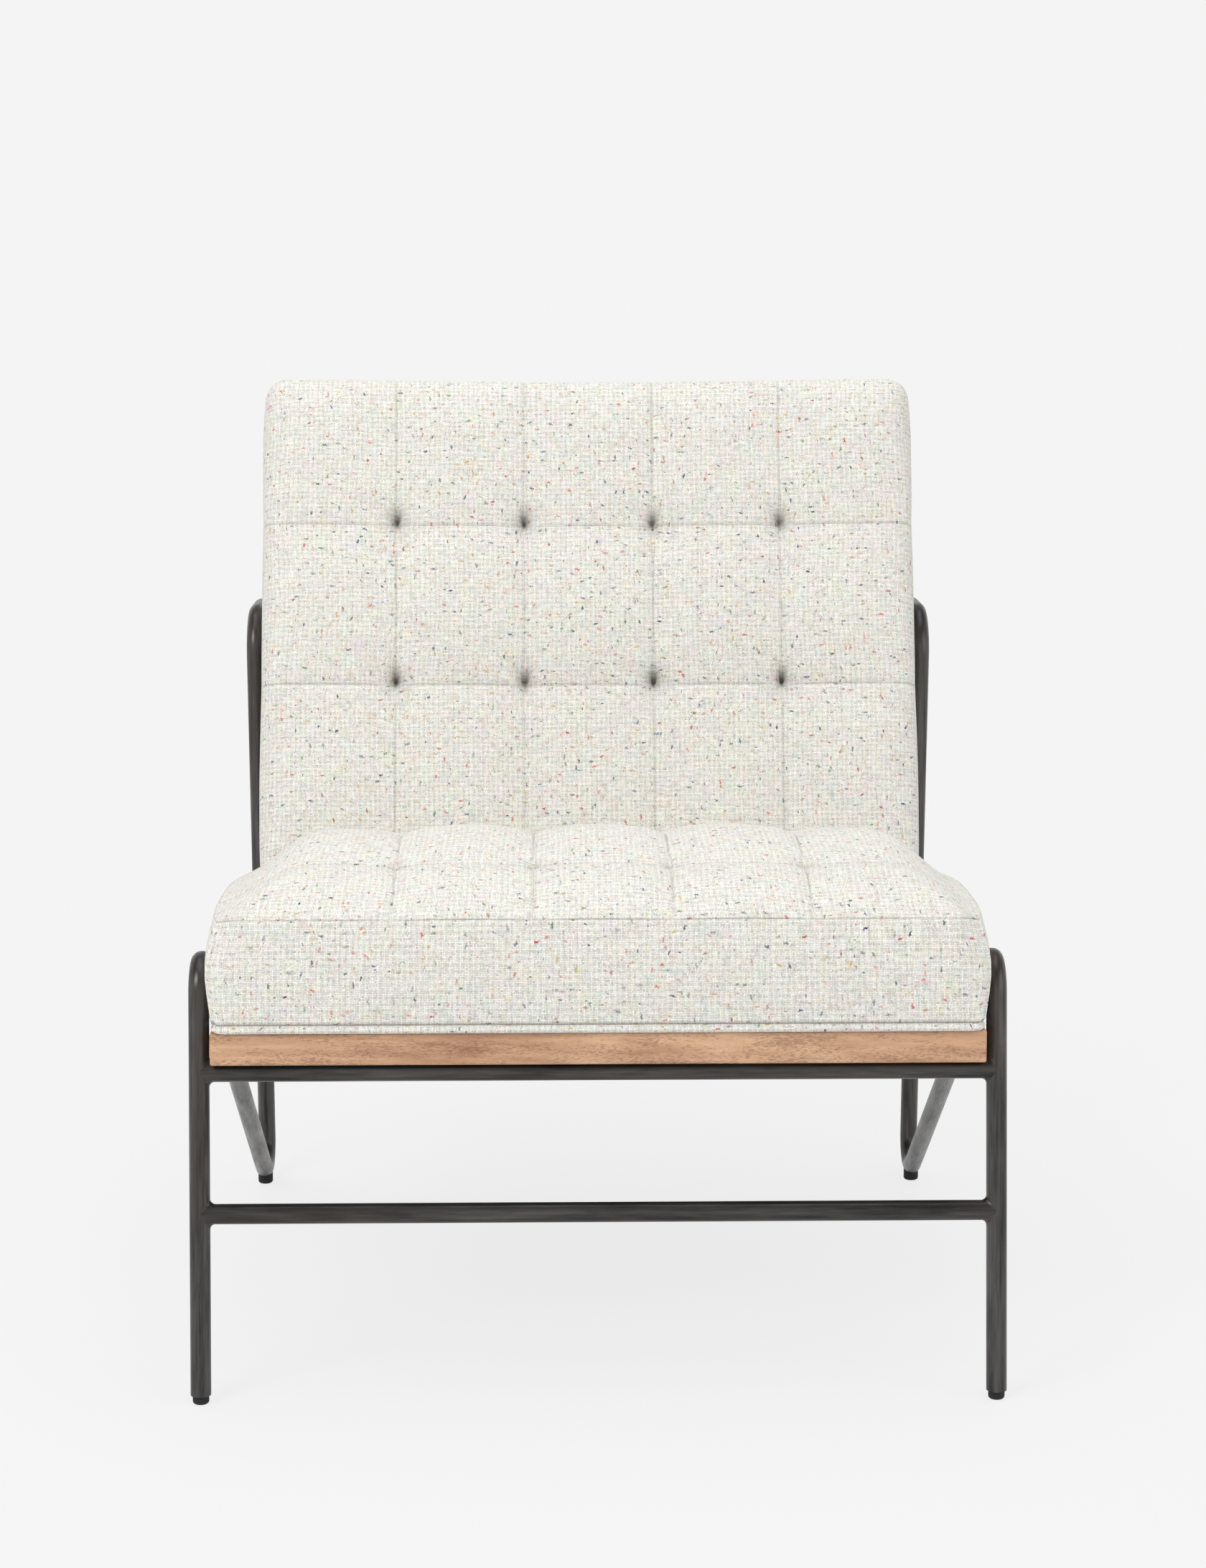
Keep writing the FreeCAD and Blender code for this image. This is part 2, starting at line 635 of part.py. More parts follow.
without("dust_cover",
        box("dust_cover_blank", SEAT,
            ("dust_cover_inset - rail_half_length", "dust_cover_inset", "-dust_cover_thickness"),
            ("2 * (rail_half_length - dust_cover_inset)", "bar_spacing - 2 * dust_cover_inset",
             "dust_cover_thickness")),
        [box("dust_cover_notch", SEAT,
             (f"{sign} * tab_middle - seat_tab_width / 2 - dust_cover_notch", f"{start} - dust_cover_notch",
              "-tab_thickness"),
             ("seat_tab_width + 2 * dust_cover_notch", "seat_tab_length + 2 * dust_cover_notch",
              "2 * tab_thickness"))
         for _, sign in SIDES for _, _, _, start, _ in ENDS])


# Cushions: rows of lofted puffs between sewn seams, tufted where seams cross

# How the upper side's shoulder and the side wall swell, as shares of their
# own width and height, and how high the puffs stand at the seams
SHOULDER_BULGE_SHARES = (0.38, 0.62)
SIDE_BULGE_SHARES = (0.3, 0.5)
SEAM_RISE_SHARE = 0.35
ROUND_END_SHARES = ((0.0, 1.0), (0.3, 0.3), (1.0, 0.0))


def cushion_section(sizes, at, level, rise, waist, shoulder_width, inset=0.0):
    """A closed outline across a cushion: flat base, drawn-in sides, a row of puffs."""
    half = sizes["half"] - inset
    base = sizes["base"] + inset
    waist = waist - inset / 2
    shoulder = half - shoulder_width
    crown = level + rise / 2
    seams = [sizes["pitch"] * (sizes["columns"] / 2 - 1 - index) for index in range(sizes["columns"] - 1)]
    side_share, side_height_share = SIDE_BULGE_SHARES
    across_share, up_share = SHOULDER_BULGE_SHARES
    foot = half - sizes["draw"]
    right = [
        (foot, base, half - sizes["draw"] * side_share, base + (waist - base) * side_height_share),
        (half, waist, half - shoulder_width * across_share, waist + (crown - waist) * up_share),
        (shoulder, crown, (shoulder + seams[0]) / 2, level + rise),
    ]
    corners = [Vector(x, at, z) for x, z, _, _ in right] + [Vector(x, at, level) for x in seams]
    middles = [Vector(x, at, z) for _, _, x, z in right]
    middles += [Vector((a + b) / 2, at, level + rise) for a, b in zip(seams, seams[1:])]
    left = [Vector(-corner.x, at, corner.z) for corner in reversed(corners[:3])]
    corners += left
    middles += [Vector(-middle.x, at, middle.z) for middle in reversed(middles[:3])]
    edges = [Part.Arc(a, middle, b).toShape() for a, middle, b in zip(corners, middles, corners[1:])]
    edges.append(Part.makeLine(corners[-1], corners[0]))
    return Part.Wire(edges)


def stations(sizes, rows, shares):
    """Each row's seam and middle: place, seam level, puff, side height, shoulder width.

    The shares are of the crown, of the side's height and of the shoulder's width.
    """
    flat = sizes["seam_rise"] * sizes["puff"]
    places = [rows[0]] + [place for start, end in zip(rows, rows[1:]) for place in ((start + end) / 2, end)]
    found = []
    for number, (at, (crown, side, shoulder)) in enumerate(zip(places, shares)):
        level = sizes["level"] + crown * sizes["crown"]
        rise = sizes["puff"] if number % 2 else flat
        if number in (0, len(places) - 1):
            level -= flat
        elif number % 2 == 0:
            level -= sizes["tuft"]
        waist = sizes["base"] + (sizes["waist"] - sizes["base"]) * side
        found.append((at, level, rise, waist, sizes["shoulder"] * shoulder))
    return found


def tufted_cushion(sizes, found):
    """Lofts one crowned block for each row and joins them along the seams."""
    blocks = [Part.makeLoft([cushion_section(sizes, *station) for station in found[first:first + 3]],
                            True, False) for first in range(0, len(found) - 1, 2)]
    for (at, level, rise, waist, shoulder), outward in ((found[0], -1), (found[-1], 1)):
        depth = sizes["front_round"] if outward < 0 else sizes["end_round"]
        sections = [cushion_section(sizes, at + outward * depth * (1 - along), level - depth * inset,
                                    rise, waist, shoulder, depth * inset)
                    for along, inset in ROUND_END_SHARES]
        blocks.append(Part.makeLoft(sections, True, False))
    return blocks[0].fuse(blocks[1:])


def sizes_of(**formulas):
    return {name: value(formula) for name, formula in formulas.items()}


def frame_now(frame):
    """A frame's placement with the sizes as they are now."""
    holder = place(made("Part::Box", "frame_probe"), frame)
    doc.recompute()
    placement = holder.Placement
    doc.removeObject(holder.Name)
    return placement


COLUMN_COUNT = 5
SEAT_AT = frame_now(SEAT)
BACK_AT = frame_now(BACK)
cushion = sizes_of(half="cushion_half_width")
cushion["columns"] = COLUMN_COUNT
cushion["seam_rise"] = SEAM_RISE_SHARE
seat_sizes = dict(cushion, **sizes_of(
    pitch="seat_column_pitch", base="cover_level", waist="cover_level + seat_waist_height",
    level="seat_level", crown="seat_crown", draw="seat_bottom_draw",
    shoulder="seat_shoulder", puff="seat_puff", tuft="seat_tuft_depth", front_round="seat_front_crown",
    end_round="cushion_end_round"))
back_sizes = dict(cushion, **sizes_of(
    pitch="back_column_pitch", base="0", waist="back_level - back_shoulder", level="back_level",
    crown="0", draw="back_bottom_draw",
    shoulder="back_shoulder", puff="back_puff", tuft="back_tuft_depth", front_round="cushion_end_round",
    end_round="back_edge_round"))


def behind_back_face(ahead):
    """All that lies behind a plane parallel to the back's face, in the seat's frame."""
    span = value("overall_width + back_length")
    face = value(f"back_thickness + {ahead}")
    block = Part.makeBox(2 * span, 2 * span, span, Vector(-span, -span, face - span))
    block.Placement = SEAT_AT.inverse().multiply(BACK_AT)
    return block


def slab(corner, size):
    """A plain block between formulas of sizes."""
    return Part.makeBox(*point(*size), point(*corner))


# Where the tufts lie: along the seat from its front, and up the back
SEAT_ROWS = [f"seat_first_channel + {number} * seat_channel_pitch - seat_front_reach" for number in range(3)]
BACK_ROWS = ["back_row_low", "back_row_low + back_channel_pitch"]
SEAMS = [f"{2 * index - COLUMN_COUNT + 2} / 2" for index in range(COLUMN_COUNT - 1)]

# From the front seam to the rear: how high the seat is crowned, how high its
# sides stand and how wide their shoulders are. It is a wedge, low at the rear
SEAT_SHARES = ((0.0, 1.0, 0.16), (0.55, 1.0, 0.7), (0.92, 1.0, 0.95), (1.0, 0.97, 1.0), (0.74, 0.87, 1.0),
               (0.42, 0.75, 1.0), (0.1, 0.61, 1.0), (-0.25, 0.44, 1.0), (-0.6, 0.3, 1.0))
EVEN_SHARES = ((0.0, 1.0, 1.0),) * 7


def tuft_pins(frame, rows, diameter, start, length):
    """A cylinder under each tuft: the twine, or with more width its hole."""
    pitch = "seat_column_pitch" if frame == SEAT else "back_column_pitch"
    return [cylinder("tuft_pin", frame, f"{diameter} / 2", length(y) if callable(length) else length,
                     (f"{x} * {pitch}", y, start)) for x in SEAMS for y in rows]


def seat_foam_height(place):
    """The sloping foam's height above its base at a place along the seat."""
    return f"seat_foam_front_height - ({place} + seat_front_reach - foam_margin) * tan(seat_foam_slope)"


def seat_foam_shape(grow):
    """The seat's foam wedge, cut to the back's slope, or with some growth its space."""
    front = f"foam_margin - seat_front_reach - {grow}"
    outline = [(front, f"foam_level - {grow}"), ("bar_spacing", f"foam_level - {grow}"),
               ("bar_spacing", f"foam_level + {seat_foam_height('bar_spacing')} + {grow}"),
               (front, f"foam_level + {seat_foam_height(front)} + {grow}")]
    side = f"foam_margin - cushion_half_width - {grow}"
    corners = [point(side, y, z) for y, z in outline]
    foam = Part.Face(Part.makePolygon(corners + corners[:1])).extrude(point(f"-2 * ({side})", "0", "0"))
    return foam.cut(behind_back_face(f"seat_rear_wall - {grow}"))


def seat_cover_shape():
    rows = [value(row) for row in ["-seat_front_reach + seat_front_crown", *SEAT_ROWS, "bar_spacing"]]
    return tufted_cushion(seat_sizes, stations(seat_sizes, rows, SEAT_SHARES)).cut(
        [behind_back_face("soft_clearance"), seat_foam_shape("soft_clearance")])


def seat_welt_shape():
    """A rounded band round the seat's front and sides, open at the back."""
    outer = slab(("-cushion_half_width", "-seat_front_reach", "rail_height"),
                 ("2 * cushion_half_width", "bar_spacing", "welt_height"))
    corners = [edge for edge in outer.Edges if edge.BoundBox.YMax < value("rail_front_reach")
               and edge.BoundBox.ZLength > edge.BoundBox.XLength]
    outer = outer.makeFillet(value("welt_depth"), corners)
    rims = [edge for edge in outer.Edges if edge.BoundBox.ZLength < value("welt_height") / 2
            and edge.BoundBox.YMin < value("bar_spacing / 2")]
    outer = outer.makeFillet(value("welt_height") / 3, rims)
    inner = slab(("welt_depth - cushion_half_width", "welt_depth - seat_front_reach",
                  "rail_height - overrun"),
                 ("2 * (cushion_half_width - welt_depth)", "bar_spacing + overrun",
                  "welt_height + 2 * overrun"))
    return outer.cut([inner, behind_back_face("soft_clearance")])


def soft_solid(label, shape, frame, tools=()):
    piece = made("Part::Feature", label + "_blank" if tools else label, Shape=shape)
    place(piece, frame)
    return without(label, piece, list(tools)) if tools else node(piece, label)


soft_solid("seat_cover", seat_cover_shape(), SEAT)
soft_solid("seat_foam", seat_foam_shape("0"), SEAT,
           tuft_pins(SEAT, SEAT_ROWS, "twine_hole", "foam_level - overrun", "seat_level"))
soft_solid("seat_welt", seat_welt_shape(), SEAT)
group("seat_tuft_twine", tuft_pins(SEAT, SEAT_ROWS, "twine_diameter", "foam_level",
                                   lambda y: seat_foam_height(y) + " + soft_clearance / 2"))


# The back: a plywood panel, its foam, the tufted cover and the bolts that
# hold it to the back crossbar

tab_bolt_places = [(f"{sign} * back_tab_spacing / 2", f"back_bar_along + {step} * bolt_spacing / 2")
                   for _, sign in SIDES for step in ("-1", "1")]
upright_screw_places = [(f"{sign} * (bracket_inner + bracket_edge)",
                         "bracket_upright_length - bracket_hole_inset") for _, sign in SIDES]


def bolt_holes(start, length, grow="bolt_clearance"):
    return [cylinder("bolt_hole", BACK, f"bolt_shank / 2 + {grow}", length, (x, y, start))
            for x, y in tab_bolt_places]


def upright_screw_holes(start, length):
    return [cylinder("upright_hole", BACK, "screw_shank / 2 + screw_clearance", length, (x, y, start))
            for x, y in upright_screw_places]


def back_foam_shape(grow):
    return slab((f"foam_margin - cushion_half_width - {grow}", f"foam_margin - {grow}", "panel_level"),
                (f"2 * (cushion_half_width - foam_margin + {grow})",
                 f"back_length - 2 * foam_margin + 2 * {grow}",
                 f"back_level - back_foam_cover - panel_level + {grow}"))


def back_space():
    """The pocket inside the back cover: the foam's space, and the panel's, open below."""
    panel = slab(("-cover_half_space", "-cushion_end_round - overrun", "back_wall"),
                 ("2 * cover_half_space",
                  "back_length - foam_margin + soft_clearance + cushion_end_round + overrun",
                  "panel_level - back_wall"))
    return [panel, back_foam_shape("soft_clearance")]


def back_cover_shape():
    rows = [value(row) for row in ["cushion_end_round", *BACK_ROWS, "back_length - back_edge_round"]]
    return tufted_cushion(back_sizes, stations(back_sizes, rows, EVEN_SHARES)).cut(back_space())


soft_solid("back_cover", back_cover_shape(), BACK,
           bolt_holes("-overrun", "back_wall + 2 * overrun")
           + upright_screw_holes("-overrun", "back_wall + 2 * overrun"))
soft_solid("back_foam", back_foam_shape("0"), BACK,
           tuft_pins(BACK, BACK_ROWS, "twine_hole", "panel_level - overrun", "back_thickness"))
without("back_panel",
        box("back_panel_blank", BACK,
            ("panel_margin - cushion_half_width", "panel_margin", "panel_back"),
            ("2 * (cushion_half_width - panel_margin)", "back_length - 2 * panel_margin",
             "panel_thickness")),
        tuft_pins(BACK, BACK_ROWS, "twine_hole", "panel_back - overrun", "panel_thickness + 2 * overrun")
        + upright_screw_holes("0", "bracket_screw_length + overrun")
        + [stepped_pin("tee_nut_hole", BACK, (x, y, "panel_back"),
                       [("tee_nut_barrel / 2 + bolt_clearance / 3", "-overrun",
                         "panel_thickness + 2 * overrun"),
                        ("tee_nut_flange / 2 + bolt_clearance", "panel_thickness - tee_nut_flange_height",
                         "tee_nut_flange_height + overrun")]) for x, y in tab_bolt_places])
group("back_tuft_twine", tuft_pins(BACK, BACK_ROWS, "twine_diameter", "panel_back",
                                   "back_level - back_foam_cover - panel_back + soft_clearance / 2"))
group("twine_toggles", tuft_pins(BACK, BACK_ROWS, "toggle_diameter", "back_wall", "toggle_thickness"))
without("back_tee_nuts",
        made("Part::Compound", "tee_nut_blanks", Links=[
            stepped_pin("tee_nut", BACK, (x, y, "panel_back"),
                        [("tee_nut_barrel / 2", "panel_thickness / 4", "panel_thickness * 3 / 4"),
                         ("tee_nut_flange / 2", "panel_thickness - tee_nut_flange_height",
                          "tee_nut_flange_height")]) for x, y in tab_bolt_places]),
        bolt_holes("-overrun", "back_thickness", "bolt_clearance / 3"))
without("back_tabs",
        made("Part::Compound", "back_tab_blanks", Links=[
            box("back_tab", BACK, (f"{sign} * back_tab_spacing / 2 - back_tab_width / 2",
                                   "back_bar_along - back_tab_length / 2", "-tab_thickness"),
                ("back_tab_width", "back_tab_length", "tab_thickness")) for _, sign in SIDES]),
        bolt_holes("-overrun - tab_thickness", "tab_thickness + 2 * overrun"))
group("back_bolts", [
    stepped_pin("back_bolt", BACK, (x, y, "-tab_thickness"),
                [("bolt_head / 2", "-bolt_head_height", "bolt_head_height"),
                 ("bolt_shank / 2", "-bolt_head_height / 2",
                  "bolt_head_height / 2 + tab_thickness + panel_level - bolt_clearance")])
    for x, y in tab_bolt_places])


# Angle brackets hold the back's lower corners to the side rails

def angle_bracket(side, sign):
    edge = f"{sign} * (bracket_inner + bracket_width / 2) - bracket_width / 2"
    foot = box(f"{side}_bracket_foot", SEAT, (edge, "bracket_start", "rail_height"),
               ("bracket_width", "bracket_foot_length", "bracket_thickness"))
    upright = box(f"{side}_bracket_upright", BACK, (edge, "-bracket_drop", "-bracket_thickness"),
                  ("bracket_width", "bracket_upright_length + bracket_drop", "bracket_thickness"))
    return made("Part::MultiFuse", f"{side}_bracket", Shapes=[foot, upright])


without("back_brackets",
        made("Part::Compound", "bracket_blanks", Links=[angle_bracket(side, sign) for side, sign in SIDES]),
        bracket_screw_holes("bracket") + upright_screw_holes("-overrun - bracket_thickness",
                                                             "bracket_thickness + 2 * overrun"))
group("bracket_screws", [
    stepped_pin("rail_screw", SEAT, (f"{sign} * rail_middle", "bracket_screw_place", "bracket_top"),
                [("screw_head / 2", "0", "screw_head_height"),
                 ("screw_shank / 2", "-screw_length", "screw_length + screw_head_height / 2")])
    for _, sign in SIDES] + [
    stepped_pin("panel_screw", BACK, (x, y, "-bracket_thickness"),
                [("screw_head / 2", "-screw_head_height", "screw_head_height"),
                 ("screw_shank / 2", "-screw_head_height / 2",
                  "screw_head_height / 2 + bracket_screw_length")])
    for x, y in upright_screw_places])

doc.recompute()



def extent_now():
    """The box round all the sub-parts."""
    extent = FreeCAD.BoundBox()
    for piece in nodes:
        extent.add(piece.Shape.optimalBoundingBox(False, False))
    return extent


# The origin lies under the middle of the chair's depth
sheet.set(sheet.getCellFromAlias("front_foot_place"), str(-extent_now().Center.y))
doc.recompute()

failed = [piece.Name for piece in doc.Objects if {"Invalid", "Error"} & set(piece.State)]
failed += [piece.Label for piece in nodes if piece.Shape.isNull() or not piece.Shape.isValid()]
if failed:
    raise RuntimeError("These did not build: " + ", ".join(failed))

os.makedirs("parts", exist_ok=True)
for piece in nodes:
    piece.Shape.exportStep(f"parts/{piece.Label}.step")
    print(f"{piece.Label:22s} solids {len(piece.Shape.Solids):2d}  faces {len(piece.Shape.Faces):4d}"
          f"  volume {piece.Shape.Volume / 1000:9.1f} cm3")
extent = extent_now()
print(f"{len(nodes)} nodes, {extent.XLength:.1f} wide, {extent.YLength:.1f} deep, {extent.ZLength:.1f} high,"
      f" middle {extent.Center.x:.2f} {extent.Center.y:.2f}, lowest {extent.ZMin:.2f}")
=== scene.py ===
# %% [markdown]
# An armless lounge chair, made ready for its portrait. The real chair is two bent steel tubes
# with crossbars, an oak frame, and two tufted cushions in a flecked cream cloth. The rigid parts
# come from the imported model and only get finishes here. The soft parts are made new, because
# cloth needs seams, tufts and a little air.

# %% Load the chair's frame
import math

import bmesh
import bpy
import numpy as np
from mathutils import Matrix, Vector, kdtree


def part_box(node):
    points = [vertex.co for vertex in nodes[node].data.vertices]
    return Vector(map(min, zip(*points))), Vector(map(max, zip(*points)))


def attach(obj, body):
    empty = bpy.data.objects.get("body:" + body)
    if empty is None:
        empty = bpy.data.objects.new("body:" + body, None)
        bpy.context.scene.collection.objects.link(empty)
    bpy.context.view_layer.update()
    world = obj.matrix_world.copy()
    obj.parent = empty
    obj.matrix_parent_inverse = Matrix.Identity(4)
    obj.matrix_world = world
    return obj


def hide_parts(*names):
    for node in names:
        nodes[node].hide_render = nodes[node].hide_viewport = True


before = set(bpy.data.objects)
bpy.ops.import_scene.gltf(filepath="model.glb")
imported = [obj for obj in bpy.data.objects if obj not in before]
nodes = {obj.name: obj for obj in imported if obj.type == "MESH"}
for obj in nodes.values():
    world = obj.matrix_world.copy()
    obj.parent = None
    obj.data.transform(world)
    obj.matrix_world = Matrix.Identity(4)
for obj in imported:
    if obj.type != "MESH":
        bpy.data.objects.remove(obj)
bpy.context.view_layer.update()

scene = bpy.context.scene

# %% [markdown]
# The camera stands where a photographer stood: a little above the seat, a long way off, with a
# long lens so that the lines stay calm. It could be placed by eye, but its place was worked out
# from known points of the chair, so every edge lands where it should, and is given here as
# numbers from the front feet.

# %% Set the camera
# From the foremost point of the front feet back to their middle, where lengths start
FOOT_MIDDLE = 0.00603
FRONT_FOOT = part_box("front_glides")[0][1] + FOOT_MIDDLE
IMAGE_HEIGHT = 2185
FOCAL_PIXELS = 4466
SENSOR = 36.0
EYE = Vector((-0.0463, FRONT_FOOT - 2.662, 1.0002))
YAW = 0.0185
PITCH = 0.1692

camera = bpy.data.objects.new("portrait_camera", bpy.data.cameras.new("portrait_camera"))
scene.collection.objects.link(camera)
camera.data.sensor_width = SENSOR
camera.data.sensor_fit = "AUTO"
camera.data.lens = SENSOR * FOCAL_PIXELS / IMAGE_HEIGHT
camera.location = EYE
look = Vector((math.sin(YAW) * math.cos(PITCH), math.cos(YAW) * math.cos(PITCH), -math.sin(PITCH)))
camera.rotation_euler = look.to_track_quat("-Z", "Y").to_euler()
scene.camera = camera
print("lens", round(camera.data.lens, 2), "front foot at", round(FRONT_FOOT, 4))

# %% [markdown]
# A shader is a small machine of joined boxes. Built one by one they are slow to read, so this
# helper adds a box, joins what goes into it and returns what comes out of it, and a formula fits
# on a line.

# %% A helper for wiring shaders


HALF = (0.5, 0.5, 0.5)  # the middle of a coloured noise


class Wiring:
    """Adds nodes to a tree and joins them."""

    def __init__(self, tree):
        self.tree = tree

    def add(self, kind, inputs=(), **settings):
        box = self.tree.nodes.new(kind)
        for key, setting in settings.items():
            setattr(box, key, setting)
        for name, value in dict(inputs).items():
            self.put(value, box.inputs[name])
        return box

    def put(self, value, socket):
        if isinstance(value, bpy.types.NodeSocket):
            self.tree.links.new(value, socket)
        else:
            socket.default_value = value

    def math(self, operation, *values, clamp=False):
        return self.add("ShaderNodeMath", enumerate(values), operation=operation,
                        use_clamp=clamp).outputs[0]

    def plus(self, first, second, clamp=False):
        return self.math("ADD", first, second, clamp=clamp)

    def times(self, first, second):
        return self.math("MULTIPLY", first, second)

    def vector(self, operation, *values):
        return self.add("ShaderNodeVectorMath", enumerate(values), operation=operation).outputs[0]

    def swing(self, place, scale, detail):
        """A coloured noise about zero, to push things aside."""
        return self.vector("SUBTRACT", self.noise(place, scale, detail)[1], HALF)

    def combine(self, x, y, z=0.0):
        return self.add("ShaderNodeCombineXYZ", {"X": x, "Y": y, "Z": z}).outputs[0]

    def separate(self, vector):
        return self.add("ShaderNodeSeparateXYZ", {"Vector": vector}).outputs

    def noise(self, vector, scale, detail=2.0, roughness=0.5, distortion=0.0):
        return self.add("ShaderNodeTexNoise", {
            "Vector": vector, "Scale": scale, "Detail": detail, "Roughness": roughness,
            "Distortion": distortion}).outputs

    def random(self, vector):
        return self.add("ShaderNodeTexWhiteNoise", {"Vector": vector}, noise_dimensions="3D").outputs

    def mix(self, factor, first, second):
        box = self.add("ShaderNodeMix", {0: factor}, data_type="RGBA")
        self.put(first, box.inputs[6])
        self.put(second, box.inputs[7])
        return box.outputs[2]

    def blend(self, factor, first, second):
        return self.add("ShaderNodeMix", {0: factor, 2: first, 3: second}).outputs[0]

    def spread(self, value, low, high, to_low=0.0, to_high=1.0):
        return self.add("ShaderNodeMapRange", {
            "Value": value, "From Min": low, "From Max": high, "To Min": to_low, "To Max": to_high,
        }).outputs[0]


def srgb(red, green, blue):
    """A colour given as 0 to 255 on screen, as the linear colour that a shader takes."""
    return tuple(((c / 255 + 0.055) / 1.055) ** 2.4 if c > 10 else c / 255 / 12.92
                 for c in (red, green, blue)) + (1.0,)


def shader_group(name, inputs, outputs):
    """An empty group with its sockets: {name: kind or (kind, value)}."""
    tree = bpy.data.node_groups.new(name, "ShaderNodeTree")
    for label, kind in inputs.items():
        kind, value = kind if isinstance(kind, tuple) else (kind, None)
        socket = tree.interface.new_socket(name=label, in_out="INPUT", socket_type="NodeSocket" + kind)
        if value is not None:
            socket.default_value = value
    for label, kind in outputs.items():
        tree.interface.new_socket(name=label, in_out="OUTPUT", socket_type="NodeSocket" + kind)
    wiring = Wiring(tree)
    return wiring, wiring.add("NodeGroupInput").outputs, wiring.add("NodeGroupOutput").inputs


def new_material(name):
    """A material, its wiring and its Principled shader."""
    material = bpy.data.materials.new(name)
    material.use_nodes = True
    wiring = Wiring(material.node_tree)
    return material, wiring, material.node_tree.nodes["Principled BSDF"]


def dress(wiring, surface, color, roughness, height, strength, distance):
    """Gives a Principled shader its colour, its roughness and a relief of this strength."""
    relief = wiring.add("ShaderNodeBump", {
        "Strength": strength, "Distance": distance, "Height": height}).outputs[0]
    for value, label in ((color, "Base Color"), (roughness, "Roughness"), (relief, "Normal")):
        wiring.put(value, surface.inputs[label])


def place_group(wiring, name, values):
    box = wiring.add("ShaderNodeGroup", node_tree=bpy.data.node_groups[name])
    for label, value in values.items():
        wiring.put(value, box.inputs[label])
    return box.outputs


# %% [markdown]
# The cloth is a chunky plain weave of cream yarn with neps: short knots of red, blue, green and
# yellow fibre spun into it. A photograph could be laid over the cushions, but threads made by
# rule stay sharp at any distance. Two sets of threads cross here; each thread has its own
# thickness, which also swells and thins along its length, and at each crossing the higher one
# shows.

# %% The woven cloth as a group

THREAD_PITCH = 0.00138
DRIFT = 1.6   # how far the threads wander slowly, in threads
SHAKE = 0.62  # and how far they wobble from one crossing to the next

weave, given, result = shader_group(
    "Flecked weave",
    {"Cloth": "Vector", "Pitch": ("Float", THREAD_PITCH), "Light yarn": ("Color", srgb(248, 246, 239)),
     "Shaded yarn": ("Color", srgb(214, 212, 204)), "Gap shade": ("Color", srgb(150, 147, 139))},
    {"Color": "Color", "Height": "Float", "Roughness": "Float"})
drift = weave.swing(given["Cloth"], 30.0, 2.0)
shake = weave.swing(given["Cloth"], 380.0, 1.0)
cells = weave.vector("DIVIDE", given["Cloth"], weave.combine(given["Pitch"], given["Pitch"], 1.0))
cells = weave.vector("ADD", cells, weave.vector("MULTIPLY", drift, (DRIFT, DRIFT, 0.0)))
cells = weave.vector("ADD", cells, weave.vector("MULTIPLY", shake, (SHAKE, SHAKE, 0.0)))
across, along, _ = weave.separate(cells)


def one_thread(crosswise, lengthwise, seed):
    """A set of threads: its number, how round it is here, and how high, from its own thickness."""
    number = weave.math("FLOOR", crosswise)
    own = weave.random(weave.combine(number, seed))[0]
    place = weave.combine(weave.times(number, 7.31), weave.times(lengthwise, 0.17), seed)
    slub = weave.noise(place, 1.0, 2.0)[0]
    beat = weave.times(weave.math("SINE", weave.times(number, 1.72)), 0.17)
    swollen = weave.spread(slub, 0.3, 0.7, 0.50, 1.12)
    thick = weave.plus(weave.plus(weave.times(own, 0.22), beat), swollen)
    middle = weave.math("SUBTRACT", weave.math("FRACT", crosswise), 0.5)
    off = weave.math("DIVIDE", weave.times(weave.math("ABSOLUTE", middle), 2.0), thick)
    body = weave.math("SUBTRACT", 1.0, weave.times(off, off), clamp=True)
    return number, own, body, thick


warp_number, warp_own, warp_body, warp_thick = one_thread(across, along, 2.0)
weft_number, weft_own, weft_body, weft_thick = one_thread(along, across, 5.0)
checkered = weave.math("FRACT", weave.times(weave.plus(warp_number, weft_number), 0.5))
warp_over = weave.math("GREATER_THAN", checkered, 0.25)


def bent(body, over, crossed):
    """A thread's height: it arches over the crossed thread and dives under the next."""
    arch = weave.blend(over, 0.40, weave.math("MULTIPLY_ADD", crossed, 0.45, 0.58))
    return weave.times(body, arch)


warp_height = bent(warp_body, warp_over, weft_body)
weft_height = bent(weft_body, weave.math("SUBTRACT", 1.0, warp_over), warp_body)
height = weave.math("MAXIMUM", warp_height, weft_height)
warp_shows = weave.math("GREATER_THAN", warp_height, weft_height)
fibre = weave.noise(given["Cloth"], 760.0, 2.0, 0.6)[0]
print("two sets of threads at", THREAD_PITCH * 1000, "mm")

# %% [markdown]
# The neps lie in the cloth like crumbs, each a short curl with its own colour and turn. Scattered
# cells give each a place, and a stretched, ragged spot gives its shape. A first layer has few and
# strong ones, a second many faint ones.

# %% The neps


